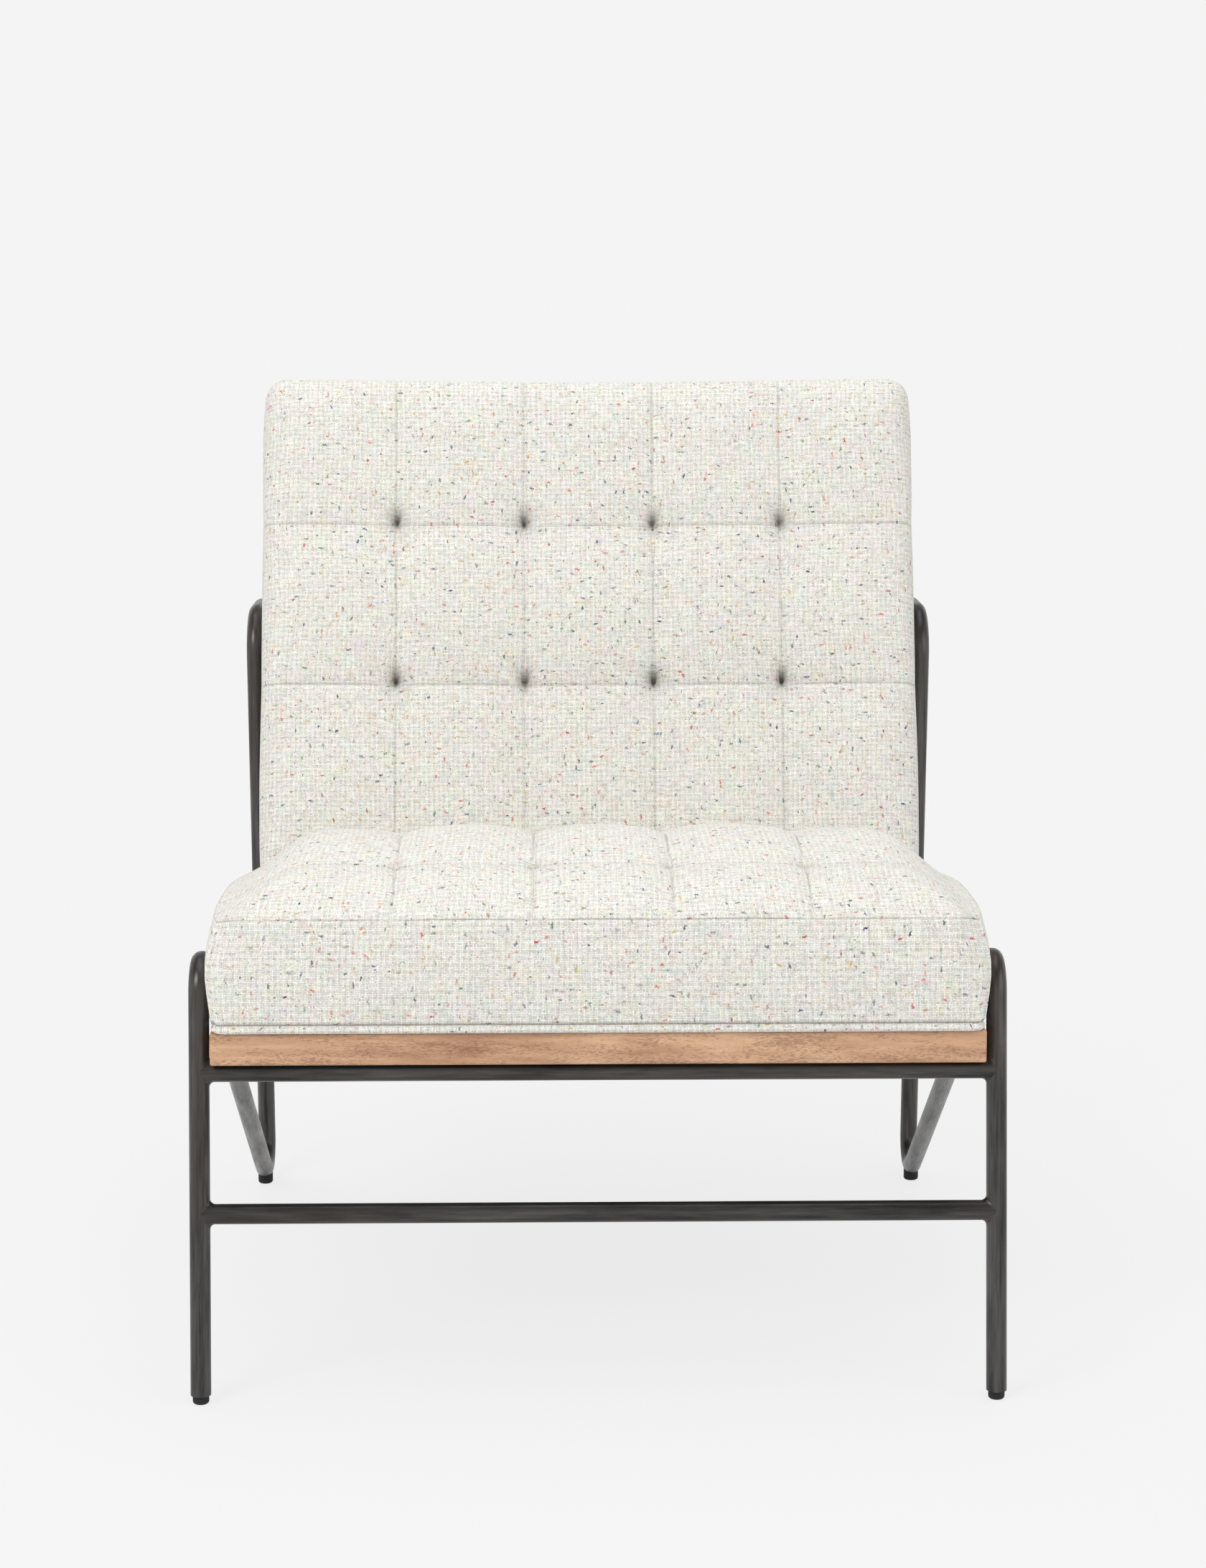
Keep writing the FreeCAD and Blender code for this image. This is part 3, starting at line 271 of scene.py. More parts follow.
def nep_layer(spacing, share, length, width, seed):
    """Where a nep lies, and three random numbers of its own."""
    place = weave.vector("DIVIDE", given["Cloth"], (spacing, spacing, 1.0))
    place = weave.vector("ADD", place, (seed, seed, 0.0))
    spots = weave.add("ShaderNodeTexVoronoi", {"Vector": place, "Scale": 1.0, "Randomness": 1.0},
                      voronoi_dimensions="2D").outputs
    own = weave.separate(weave.random(spots["Color"])[1])
    more = weave.separate(weave.random(weave.vector("ADD", spots["Color"], (3.0, 7.0, 5.0)))[1])
    offset = weave.vector("SUBTRACT", place, spots["Position"])
    # Most lie along one set of threads, the others along the crossing set
    lies = weave.plus(weave.spread(own[0], 0.0, 1.0, -0.42, 0.42),
                      weave.times(weave.math("GREATER_THAN", own[1], 0.58), math.pi / 2))
    turned = weave.add("ShaderNodeVectorRotate", {"Vector": offset, "Angle": lies},
                       rotation_type="Z_AXIS").outputs[0]
    size = weave.spread(own[2], 0.0, 1.0, 0.45, 1.35)
    shaped = weave.vector("MULTIPLY", turned, (spacing / length, spacing / width, 0.0))
    reach = weave.add("ShaderNodeVectorMath", {0: shaped}, operation="LENGTH").outputs["Value"]
    reach = weave.math("DIVIDE", reach, size)
    ragged = weave.math("MULTIPLY_ADD", weave.noise(given["Cloth"], 720.0, 2.0)[0], 4.2, -2.1)
    inside = weave.spread(weave.plus(reach, ragged), 1.25, 0.70)
    there = weave.math("LESS_THAN", more[0], share)
    return weave.times(inside, there), more


def color_ramp(value, shades):
    """Steps of colour, one for each share of the random numbers."""
    ramp = weave.add("ShaderNodeValToRGB", {"Fac": value})
    ramp.color_ramp.interpolation = "CONSTANT"
    stops = ramp.color_ramp.elements
    stops.remove(stops[1])
    for number, (place, shade) in enumerate(shades):
        stop = stops[0] if number == 0 else stops.new(place)
        stop.color = srgb(*shade)
    return ramp.outputs["Color"]


NEP_SHADES = ((0.0, (188, 62, 50)), (0.14, (216, 104, 74)), (0.24, (40, 54, 94)),
              (0.42, (66, 92, 128)), (0.52, (52, 104, 72)), (0.64, (104, 152, 92)),
              (0.72, (208, 170, 78)), (0.84, (222, 146, 134)), (0.94, (104, 100, 96)))
FAINT_SHADES = ((0.0, (232, 178, 164)), (0.24, (172, 186, 200)), (0.44, (172, 204, 168)),
                (0.66, (232, 214, 150)), (0.84, (206, 178, 178)))
strong, strong_own = nep_layer(0.0094, 0.56, 0.0018, 0.00080, 3.0)
faint, faint_own = nep_layer(0.0085, 0.30, 0.0028, 0.0016, 11.0)
crossing = weave.separate(weave.random(weave.combine(warp_number, weft_number, 4.0))[1])
speck = weave.math("GREATER_THAN", crossing[0], 0.978)
patches = weave.swing(given["Cloth"], 62.0, 2.0)
print("nep shades", len(NEP_SHADES) + len(FAINT_SHADES))

# %% [markdown]
# The colour comes last. One cream would look like paper, so thin threads are greyer than thick
# ones, soft patches are a little warmer or cooler, and the neps lie over them. Between the
# threads and in the low places of the weave a grey is painted in as shade, as the gaps of a
# real cloth are only half lit.

# %% The yarn's colour
own = weave.blend(warp_shows, weft_own, warp_own)
thick = weave.blend(warp_shows, weft_thick, warp_thick)
tone = weave.plus(weave.spread(thick, 0.45, 1.20, 0.85, -0.1), weave.times(own, 0.45), clamp=True)
yarn = weave.mix(tone, given["Light yarn"], given["Shaded yarn"])
tint = weave.vector("ADD", weave.vector("MULTIPLY", patches, (0.20, 0.16, 0.22)), (1.0, 1.0, 1.0))
yarn = weave.vector("MULTIPLY", yarn, tint)
strength = weave.spread(strong_own[2], 0.0, 1.0, 0.50, 1.05)
for mask, amount, pick, shades in ((faint, 0.30, faint_own[1], FAINT_SHADES),
                                   (speck, 0.34, crossing[1], NEP_SHADES),
                                   (strong, strength, strong_own[1], NEP_SHADES)):
    yarn = weave.mix(weave.times(mask, amount), yarn, color_ramp(pick, shades))
# Painted shade: the low places of the weave, varied by fibre speckle, darken the yarn towards the gap's
# shade colour
fuzz = weave.spread(fibre, 0.3, 0.7, -0.26, 0.26)
lit = weave.plus(weave.spread(height, 0.04, 0.62), fuzz, clamp=True)
lit = weave.math("POWER", lit, 0.62)
weave.put(weave.mix(lit, given["Gap shade"], yarn), result["Color"])
weave.put(weave.plus(height, weave.times(fibre, 0.3)), result["Height"])
weave.put(weave.spread(fibre, 0.3, 0.7, 0.82, 0.96), result["Roughness"])
print("weave group has", len(weave.tree.nodes), "boxes")

# %% [markdown]
# The weave group gives colour, height and roughness; the shader itself stays in the material. An
# attribute on the mesh carries painted shade: it darkens the cloth's colour in the tufts, along
# the seams and on the lowest rings of the seat's band, so that the depth of a tuft stays dark even
# in flat light. A faint sheen stands for the fuzz of the yarn.

# %% The cloth's material
# The colour of the shade painted into the tufts, the seams and the band's lowest rings
PAINTED_SHADE_COLOR = srgb(92, 89, 80)


def cloth_material(name, relief):
    """Cream cloth whose threads follow the piece's own cloth map, with painted shade in its pinches."""
    material, wiring, surface = new_material(name)
    cloth = wiring.add("ShaderNodeUVMap", uv_map="cloth").outputs[0]
    threads = place_group(wiring, "Flecked weave", {"Cloth": cloth})
    # Painted shade: the cloth darkens towards the shade colour as much as the mesh's attribute says
    hollow = wiring.add("ShaderNodeAttribute", attribute_name="hollow").outputs["Fac"]
    color = wiring.mix(wiring.times(hollow, 0.72), threads["Color"], PAINTED_SHADE_COLOR)
    dress(wiring, surface, color, threads["Roughness"], threads["Height"], relief, 0.0006)
    surface.inputs["Specular IOR Level"].default_value = 0.2
    surface.inputs["Sheen Weight"].default_value = 0.25
    surface.inputs["Sheen Roughness"].default_value = 0.5
    return material


cushion_cloth = cloth_material("Flecked cream cloth", 0.6)
print("cloth material", cushion_cloth.name)

# %% [markdown]
# The oak is brushed: its soft early wood lies lower and darker than the hard bands. The group
# stretches noise along the grain for the figure, and adds fine pores on top.

# %% The oak as a group

oak, given, result = shader_group(
    "Brushed oak",
    {"Along grain": "Vector", "Pale": ("Color", srgb(228, 189, 154)),
     "Deep": ("Color", srgb(152, 106, 78))},
    {"Color": "Color", "Height": "Float", "Roughness": "Float"})
drawn = oak.vector("MULTIPLY", given["Along grain"], (2.2, 14.0, 14.0))
sweep = oak.noise(drawn, 1.0, 3.0, 0.55, 0.6)[0]
bands = oak.math("FRACT", oak.times(sweep, 9.0))
bands = oak.math("ABSOLUTE", oak.math("MULTIPLY_ADD", bands, 2.0, -1.0))
waves = oak.swing(given["Along grain"], 26.0, 3.0)
bowed = oak.vector("ADD", given["Along grain"], oak.vector("MULTIPLY", waves, (0.0, 0.012, 0.012)))
streaks = oak.noise(oak.vector("MULTIPLY", bowed, (16.0, 300.0, 300.0)), 1.0, 4.0, 0.65)[0]
pores = oak.noise(oak.vector("MULTIPLY", bowed, (190.0, 1500.0, 1500.0)), 1.0, 2.0, 0.6)[0]
figure = oak.noise(oak.vector("MULTIPLY", bowed, (11.0, 70.0, 70.0)), 1.0, 2.0, 0.6)[0]
pore_mask = oak.spread(oak.plus(pores, oak.spread(figure, 0.35, 0.68, -0.12, 0.10)), 0.50, 0.60)
patches = oak.noise(oak.vector("MULTIPLY", given["Along grain"], (5.0, 12.0, 12.0)), 1.0, 2.0)[0]
tone = oak.plus(oak.times(bands, 0.20), oak.times(streaks, 0.60))
tone = oak.plus(tone, oak.spread(patches, 0.3, 0.7, -0.26, 0.26), clamp=True)
grain = oak.mix(tone, given["Pale"], given["Deep"])
grain = oak.mix(oak.times(pore_mask, 0.50), grain, srgb(112, 74, 50))
oak.put(grain, result["Color"])
oak.put(oak.math("SUBTRACT", oak.times(streaks, 0.5), oak.times(pore_mask, 0.6)), result["Height"])
oak.put(oak.spread(tone, 0.0, 1.0, 0.5, 0.72), result["Roughness"])


def wood_material(name, turn, colors=None):
    """Wood whose grain runs along X after the given turn about Z."""
    material, wiring, surface = new_material(name)
    place = wiring.add("ShaderNodeTexCoord").outputs["Object"]
    turned = wiring.add("ShaderNodeMapping", {
        "Vector": place, "Rotation": (0.0, 0.0, turn)}).outputs[0]
    grain = place_group(wiring, "Brushed oak", {"Along grain": turned, **(colors or {})})
    dress(wiring, surface, grain["Color"], grain["Roughness"], grain["Height"], 0.35, 0.0004)
    surface.inputs["Specular IOR Level"].default_value = 0.3
    return material


oak_across = wood_material("Brushed oak across", 0.0)
oak_along = wood_material("Brushed oak along", math.pi / 2)
pale_wood = {"Pale": srgb(222, 192, 156), "Deep": srgb(190, 152, 112)}
beech = wood_material("Bare beech", math.pi / 4, pale_wood)
plywood = wood_material("Bare plywood", 0.0, pale_wood)
print("oak group has", len(oak.tree.nodes), "boxes")

# %% [markdown]
# The tube has a dark gunmetal finish, rubbed by hand, so it is never one grey: long soft streaks
# run along each tube, and a warm brown shows where the coat is thin. One flat grey would look
# like plastic. The same group, with its own colours, also serves the small steel parts.

# %% The metal as a group

metal, given, result = shader_group(
    "Rubbed metal",
    {"Streaks": "Vector", "Dark": ("Color", srgb(45, 44, 44)), "Worn": ("Color", srgb(90, 88, 86)),
     "Warm": ("Color", srgb(82, 72, 65)), "Smooth": ("Float", 0.27), "Dull": ("Float", 0.38)},
    {"Color": "Color", "Height": "Float", "Roughness": "Float"})
long_streaks = metal.noise(given["Streaks"], 1.0, 4.0, 0.6)[0]
fine_streaks = metal.noise(metal.vector("MULTIPLY", given["Streaks"], (3.1,) * 3), 1.0, 3.0, 0.6)[0]
clouds = metal.noise(metal.vector("MULTIPLY", given["Streaks"], (0.35,) * 3), 1.0, 2.0)[0]
rub = metal.plus(metal.times(long_streaks, 0.7), metal.times(fine_streaks, 0.3))
rub = metal.spread(rub, 0.36, 0.64)
coat = metal.mix(rub, given["Dark"], given["Worn"])
coat = metal.mix(metal.times(metal.spread(clouds, 0.52, 0.72), 0.5), coat, given["Warm"])
metal.put(coat, result["Color"])
metal.put(fine_streaks, result["Height"])
metal.put(metal.blend(rub, given["Dull"], given["Smooth"]), result["Roughness"])


def metal_material(name, stretch, metallic=0.7, **values):
    """Rubbed metal whose streaks are drawn out by a stretch along X, Y and Z."""
    material, wiring, surface = new_material(name)
    place = wiring.add("ShaderNodeTexCoord").outputs["Object"]
    streaks = wiring.add("ShaderNodeMapping", {"Vector": place, "Scale": stretch}).outputs[0]
    coat = place_group(wiring, "Rubbed metal", {"Streaks": streaks, **values})
    dress(wiring, surface, coat["Color"], coat["Roughness"], coat["Height"], 0.12, 0.0002)
    surface.inputs["Metallic"].default_value = metallic
    surface.inputs["Specular IOR Level"].default_value = 0.7
    return material


side_steel = metal_material("Rubbed gunmetal upright", (170.0, 26.0, 9.0))
# The level bars' copy draws its streaks along them; its colours are a little darker than the uprights',
# as painted shade for the bars under the seat
shaded_cross_steel = metal_material("Shaded gunmetal level", (9.0, 120.0, 120.0),
                             Dark=srgb(41, 40, 40), Worn=srgb(84, 82, 80), Warm=srgb(74, 64, 58))
tab_steel = metal_material("Gunmetal plate", (60.0, 60.0, 60.0))
zinc = metal_material("Zinc plate", (220.0, 220.0, 220.0), 0.9,
                      Dark=srgb(150, 152, 156), Worn=srgb(196, 198, 200), Warm=srgb(176, 170, 150))
print("metal group has", len(metal.tree.nodes), "boxes")

# %% [markdown]
# The feet, plugs, cloths below the seat and the twine are plain stuff. Each is two near shades of
# one colour mottled together, with a relief of the same mottle, so none of them looks like a flat
# fill.

# %% The plain materials


def plain_material(name, dark, pale, scale, roughness):
    """Rubber, plastic or felt: two near shades mottled together, with a fine relief."""
    material, wiring, surface = new_material(name)
    place = wiring.add("ShaderNodeTexCoord").outputs["Object"]
    mottle = wiring.noise(place, scale, 4.0, 0.6)[0]
    dress(wiring, surface, wiring.mix(mottle, srgb(*dark), srgb(*pale)),
          wiring.spread(mottle, 0.3, 0.7, roughness, roughness + 0.12), mottle, 0.25, 0.0002)
    surface.inputs["Specular IOR Level"].default_value = 0.3
    return material


rubber = plain_material("Black rubber", (24, 24, 25), (44, 43, 43), 900.0, 0.6)
plug_plastic = plain_material("Black plastic", (28, 28, 29), (40, 40, 41), 600.0, 0.45)
white_plastic = plain_material("White plastic", (206, 206, 200), (222, 222, 216), 500.0, 0.4)
dust_cloth = plain_material("Black dust cloth", (20, 20, 21), (52, 52, 54), 1400.0, 0.85)
felt = plain_material("Grey felt", (168, 164, 154), (196, 192, 182), 1100.0, 0.9)
jute = plain_material("Jute webbing", (120, 104, 78), (164, 146, 112), 1300.0, 0.85)
twine = plain_material("Waxed twine", (196, 190, 174), (216, 211, 196), 2600.0, 0.6)
print(len(bpy.data.materials), "materials")

# %% [markdown]
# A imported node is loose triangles, so it shades flat. The tubes and eased boards need soft
# shading: a Weld joins the triangles, an Edge Split keeps the true edges sharp, and neither moves
# a point.

# %% Finish the rigid nodes
SAME_POINT = 0.00001
SHARP = math.radians(32)
FINISHES = {
    side_steel: ["left_side_frame", "right_side_frame"],
    shaded_cross_steel: ["front_seat_crossbar", "front_stretcher", "rear_seat_crossbar", "back_crossbar"],
    tab_steel: ["front_seat_tabs", "rear_seat_tabs", "back_tabs"],
    rubber: ["front_glides", "rear_glides"],
    plug_plastic: ["tube_end_plugs"],
    oak_across: ["front_rail", "rear_rail"],
    oak_along: ["left_rail", "right_rail"],
    beech: ["rail_dowels", "corner_blocks"],
    plywood: ["back_panel"],
    zinc: ["rear_glide_screws", "seat_screws", "back_tee_nuts", "back_bolts", "back_brackets",
           "bracket_screws"],
    white_plastic: ["twine_toggles"],
    twine: ["back_tuft_twine", "seat_tuft_twine"],
}
for material, names in FINISHES.items():
    for name in names:
        node = nodes[name]
        node.data.materials.clear()
        node.data.materials.append(material)
        node.data.polygons.foreach_set("use_smooth", [True] * len(node.data.polygons))
        weld = node.modifiers.new("Weld", "WELD")
        weld.merge_threshold = SAME_POINT
        split = node.modifiers.new("Sharp edges", "EDGE_SPLIT")
        split.split_angle = SHARP
print("finished", sum(map(len, FINISHES.values())), "rigid nodes in", len(FINISHES), "materials")

# %% [markdown]
# Each cushion is sewn from a quilted face, a band round its edge and a plain underside. One grid
# with lines crowded beside the seams makes the face, and rings of points carry its border down
# the band. So seams lie exactly on lines of the mesh, and each point also knows its place on the
# flat cloth, which the weave needs.

# %% A sewn cushion as a mesh
SEAM_STEPS = (0.0, 0.005, 0.012, 0.025, 0.045, 0.075, 0.11)
COLUMNS = 5
TUFT_COLUMNS = (-1.5, -0.5, 0.5, 1.5)  # from the middle, in columns
CELL_LINES = 36


def crowded_lines(cells):
    """Places from 0 to the number of cells, crowded beside each whole number."""
    inner = np.linspace(SEAM_STEPS[-1], 1 - SEAM_STEPS[-1], CELL_LINES - 2 * len(SEAM_STEPS) + 2)[1:-1]
    cell = np.concatenate([SEAM_STEPS, inner, 1 - np.array(SEAM_STEPS[:0:-1])])
    return np.concatenate([cell + number for number in range(cells)] + [[cells]])


def border(rows, columns):
    """The face's border as grid indices, once round, seen from above against the clock."""
    walk = [(0, i) for i in range(columns)] + [(j, columns - 1) for j in range(1, rows)]
    walk += [(rows - 1, i) for i in range(columns - 2, -1, -1)]
    return walk + [(j, 0) for j in range(rows - 2, 0, -1)]


def sewn_mesh(name, face, face_cloth, rings, rings_cloth):
    """A closed mesh from the face's grid of points and the band's rings of points."""
    rows, columns = face.shape[:2]
    walk = border(rows, columns)
    points = [face.reshape(-1, 3)] + rings
    faces = []
    cloth = []
    number = np.arange(rows * columns).reshape(rows, columns)
    for j in range(rows - 1):
        for i in range(columns - 1):
            corners = ((j, i), (j, i + 1), (j + 1, i + 1), (j + 1, i))
            faces.append(tuple(number[corner] for corner in corners))
            cloth += [face_cloth[corner] for corner in corners]
    above = np.array([number[place] for place in walk])
    start = rows * columns
    for level in range(len(rings)):
        below = start + level * len(walk) + np.arange(len(walk))
        top_cloth, low_cloth = rings_cloth[level], rings_cloth[level + 1]
        for k in range(len(walk)):
            n = (k + 1) % len(walk)
            faces.append((above[k], below[k], below[n], above[n]))
            cloth += [top_cloth[k], low_cloth[k], low_cloth[k + 1], top_cloth[k + 1]]
        above = below
    faces.append(tuple(above[::-1]))
    centre = rings[-1].mean(axis=0)
    cloth += [tuple((rings[-1][k] - centre)[:2]) for k in range(len(walk) - 1, -1, -1)]
    mesh = bpy.data.meshes.new(name)
    mesh.from_pydata(np.concatenate(points).tolist(), [], faces)
    layer = mesh.uv_layers.new(name="cloth")
    layer.data.foreach_set("uv", np.array(cloth, dtype=np.float32)[:, :2].ravel())
    mesh.polygons.foreach_set("use_smooth", [True] * len(mesh.polygons))
    mesh.update()
    piece = bpy.data.objects.new(name, mesh)
    scene.collection.objects.link(piece)
    return piece


def grid_normals(face):
    """The unit normal at each point of a grid."""
    along = np.gradient(face, axis=1)
    up = np.gradient(face, axis=0)
    normal = np.cross(along, up)
    return normal / np.maximum(np.linalg.norm(normal, axis=2, keepdims=True), 1e-12)


def arc_lengths(line):
    return np.concatenate([[0.0], np.cumsum(np.linalg.norm(np.diff(line, axis=0), axis=1))])


def coords(mesh):
    values = np.empty(len(mesh.vertices) * 3, dtype=np.float32)
    mesh.vertices.foreach_get("co", values)
    return values.reshape(-1, 3).astype(float)


def set_coords(mesh, points):
    mesh.vertices.foreach_set("co", np.asarray(points).astype(np.float32).ravel())
    mesh.update()


print("lines across a cushion", len(crowded_lines(COLUMNS)))


# %% [markdown]
# The air: a coarse copy of each cushion is blown up a little by Blender's cloth while its seams,
# tufts and base are held. Remeshing would lose the seams, so only the movement is taken back to
# the sewn mesh. A cap keeps the filling where foam would keep it.

# %% Blow up a cushion
NEAR_POINTS = 6      # of the coarse copy, which carry a point of the sewn mesh with them
NEAR_SOFTENS = 0.002


def filled_with_air(piece, held, cap, pressure=4.0, voxel=0.006, frames=20):
    """Moves a cushion's points as cloth under pressure moves; held says how firmly each is held."""
    copy = bpy.data.objects.new(piece.name + "_air", piece.data.copy())
    scene.collection.objects.link(copy)
    remesh = copy.modifiers.new("Even", "REMESH")
    remesh.mode = "VOXEL"
    remesh.voxel_size = voxel
    depsgraph = bpy.context.evaluated_depsgraph_get()
    even = bpy.data.meshes.new_from_object(copy.evaluated_get(depsgraph))
    copy.modifiers.clear()
    copy.data = even
    before = coords(even)
    group = copy.vertex_groups.new(name="held")
    for number, weight in enumerate(held(before)):
        if weight > 0.01:
            group.add([number], float(weight), "REPLACE")
    cloth = copy.modifiers.new("Air", "CLOTH")
    settings = cloth.settings
    settings.quality = 5
    settings.mass = 0.35
    settings.tension_stiffness = 18.0
    settings.compression_stiffness = 12.0
    settings.shear_stiffness = 8.0
    settings.bending_stiffness = 0.6
    settings.use_pressure = True
    settings.uniform_pressure_force = pressure
    settings.vertex_group_mass = "held"
    settings.pin_stiffness = 1.0
    settings.effector_weights.gravity = 0.0
    cloth.point_cache.frame_start = 1
    cloth.point_cache.frame_end = frames
    scene.frame_start = 1
    scene.frame_end = frames
    for number in range(1, frames + 1):
        scene.frame_set(number)
    depsgraph = bpy.context.evaluated_depsgraph_get()
    after = coords(copy.evaluated_get(depsgraph).to_mesh())
    move = after - before
    size = np.linalg.norm(move, axis=1, keepdims=True)
    move *= np.minimum(1.0, cap / np.maximum(size, 1e-9))
    tree = kdtree.KDTree(len(before))
    for number, place in enumerate(before):
        tree.insert(place, number)
    tree.balance()
    target = coords(piece.data)
    for number, place in enumerate(target):
        near = tree.find_n(place, NEAR_POINTS)
        weights = np.array([1.0 / (distance + NEAR_SOFTENS) ** 2 for _, _, distance in near])
        moves = move[[index for _, index, _ in near]]
        target[number] += (moves * weights[:, None]).sum(axis=0) / weights.sum()
    set_coords(piece.data, target)
    bpy.data.objects.remove(copy)
    scene.frame_set(1)
    print(piece.name, "air moved it", round(float(size.mean()) * 1000, 1), "mm on average,",
          round(float(size.max()) * 1000, 1), "at most, before the cap of", cap * 1000)


# %% [markdown]
# The seat slopes back a little and the back reclines. Both are easier to shape lying flat, so
# each has its own flat place, and one function lays it on the chair.

# %% Two places to build in
SEAT_RAKE = math.radians(1.2)
SEAT_FOOT = (0.0419, 0.2948)
BACK_RECLINE = math.radians(19.0)
BACK_FOOT = (0.6123, 0.3180)
HALF_WIDTH = 0.3368


def on_seat(points):
    """From across, along and up on the seat to the chair's own axes."""
    x, s, h = np.moveaxis(np.asarray(points, dtype=float), -1, 0)
    y = FRONT_FOOT + SEAT_FOOT[0] + s * math.cos(SEAT_RAKE) + h * math.sin(SEAT_RAKE)
    z = SEAT_FOOT[1] - s * math.sin(SEAT_RAKE) + h * math.cos(SEAT_RAKE)
    return np.stack([x, y, z], axis=-1)


def on_back(points):
    """From across, up the back and out of its face to the chair's own axes."""
    x, t, n = np.moveaxis(np.asarray(points, dtype=float), -1, 0)
    y = FRONT_FOOT + BACK_FOOT[0] + t * math.sin(BACK_RECLINE) - n * math.cos(BACK_RECLINE)
    z = BACK_FOOT[1] + t * math.cos(BACK_RECLINE) + n * math.sin(BACK_RECLINE)
    return np.stack([x, y, z], axis=-1)


def eased(value, low, high):
    """A smooth step from 0 to 1 between two values."""
    share = np.clip((value - low) / (high - low), 0.0, 1.0)
    return share * share * (3 - 2 * share)


def bell(distance, width, power=2):
    """A share that is 1 at a seam or tuft and fades over about this width."""
    return np.exp(-(distance / width) ** power)


print("seat starts at", np.round(on_seat((0, 0, 0)), 3), "and back at", np.round(on_back((0, 0, 0)), 3))


# %% [markdown]
# The seat cushion: its face starts at a seam along the front edge, swells into rows of puffs that
# a seam and a twine tuft hold down at each crossing, and rolls over at the sides, more and more
# towards the rear. A plain box with bumps would miss that roll, so each row across gets its own
# line, walked off in equal steps.

# %% The seat's shape
SEAT_FRONT = -0.0205
SEAT_SEAM_ROWS = (-0.0125, 0.085, 0.250, 0.415, 0.503)
SEAT_BASE = 0.0355
SEAT_PITCH = 0.1208
SEAT_PUFF = 0.0105
SEAM_SHIFT = 0.0045
# Along the seat: the seams' level, the side seam's level and where the shoulder begins to roll
SEAT_PROFILE = np.array([
    (-0.0125, 0.1270, 0.1262, 0.318), (0.000, 0.1350, 0.1262, 0.300), (0.018, 0.1440, 0.1262, 0.285),
    (0.036, 0.1505, 0.1262, 0.272), (0.060, 0.1560, 0.1262, 0.262), (0.085, 0.1580, 0.1262, 0.256),
    (0.125, 0.1640, 0.1260, 0.250), (0.165, 0.1675, 0.1245, 0.247), (0.200, 0.1660, 0.1220, 0.245),
    (0.250, 0.1580, 0.1165, 0.245), (0.330, 0.1440, 0.1060, 0.248), (0.415, 0.1290, 0.0950, 0.250),
    (0.503, 0.1150, 0.0840, 0.252)])
seat_columns = crowded_lines(COLUMNS)
seat_rows = crowded_lines(len(SEAT_SEAM_ROWS) - 1)


def soft_interp(value, places, levels):
    """Between known places, without corners."""
    near = [np.interp(value + shift, places, levels) for shift in (-0.012, -0.006, 0.0, 0.006, 0.012)]
    return np.average(near, axis=0, weights=(1, 2, 3, 2, 1))


def row_place(value):
    return np.interp(value, range(len(SEAT_SEAM_ROWS)), SEAT_SEAM_ROWS)


def seat_line(s):
    """One row across the seat's face, from left to right, without its puffs."""
    between = soft_interp if s > 0.004 else np.interp
    level, edge, roll_start = [float(between(s, SEAT_PROFILE[:, 0], SEAT_PROFILE[:, column]))
                               for column in (1, 2, 3)]
    width = float(np.interp(s, [-0.0125, 0.02, 0.06], [0.3300, 0.3340, 0.3355]))
    seam = 1.5 * SEAT_PITCH
    roll = np.linspace(0.0, 1.0, 60)
    fall = (0.5 + 0.5 * np.cos(np.pi * roll)) ** 0.8
    x = np.concatenate([[seam], roll_start + (width - roll_start) * roll])
    z = np.concatenate([[level], edge + (level - edge) * fall])
    line = np.stack([x, z], axis=1)
    steps = arc_lengths(line)
    places = (seat_columns[seat_columns <= 1.0])[::-1]
    outer = np.stack([np.interp((1 - places) * steps[-1], steps, line[:, axis])
                      for axis in (0, 1)], axis=1)
    inner_columns = seat_columns[(seat_columns > 1.0) & (seat_columns < COLUMNS - 1.0)]
    inner = (inner_columns - COLUMNS / 2) * SEAT_PITCH
    inner = np.stack([inner, np.full(len(inner), level)], axis=1)
    return np.concatenate([outer[::-1] * (-1.0, 1.0), inner, outer])


def puff_share(value, cells, fade, power=0.62):
    """How full a puff is across its cell: none at a seam, all in the middle; open ends fade out."""
    place = value % 1.0
    share = np.sin(np.pi * place) ** power
    if fade[0]:
        first = np.sin(np.pi / 2 * (1 - place)) ** power * eased(place, 0.0, fade[0])
        share = np.where(value < 1, first, share)
    if fade[1]:
        last = np.sin(np.pi / 2 * place) ** power * eased(1 - place, 0.0, fade[1])
        share = np.where(value >= cells - 1, last, share)
    return np.where(value >= cells, 0.0, share)


def nearest(values, wanted):
    return int(np.argmin(abs(values - wanted)))


seat_face = np.zeros((len(seat_rows), len(seat_columns), 3))
for j, row in enumerate(seat_rows):
    line = seat_line(row_place(row))
    seat_face[j, :, 0] = line[:, 0]
    seat_face[j, :, 1] = row_place(row)
    seat_face[j, :, 2] = line[:, 1]
# The upholsterer set the seams a few millimetres to the right
seat_face[:, :, 0] += SEAM_SHIFT * (1 - (seat_face[:, :, 0] / 0.336) ** 2)
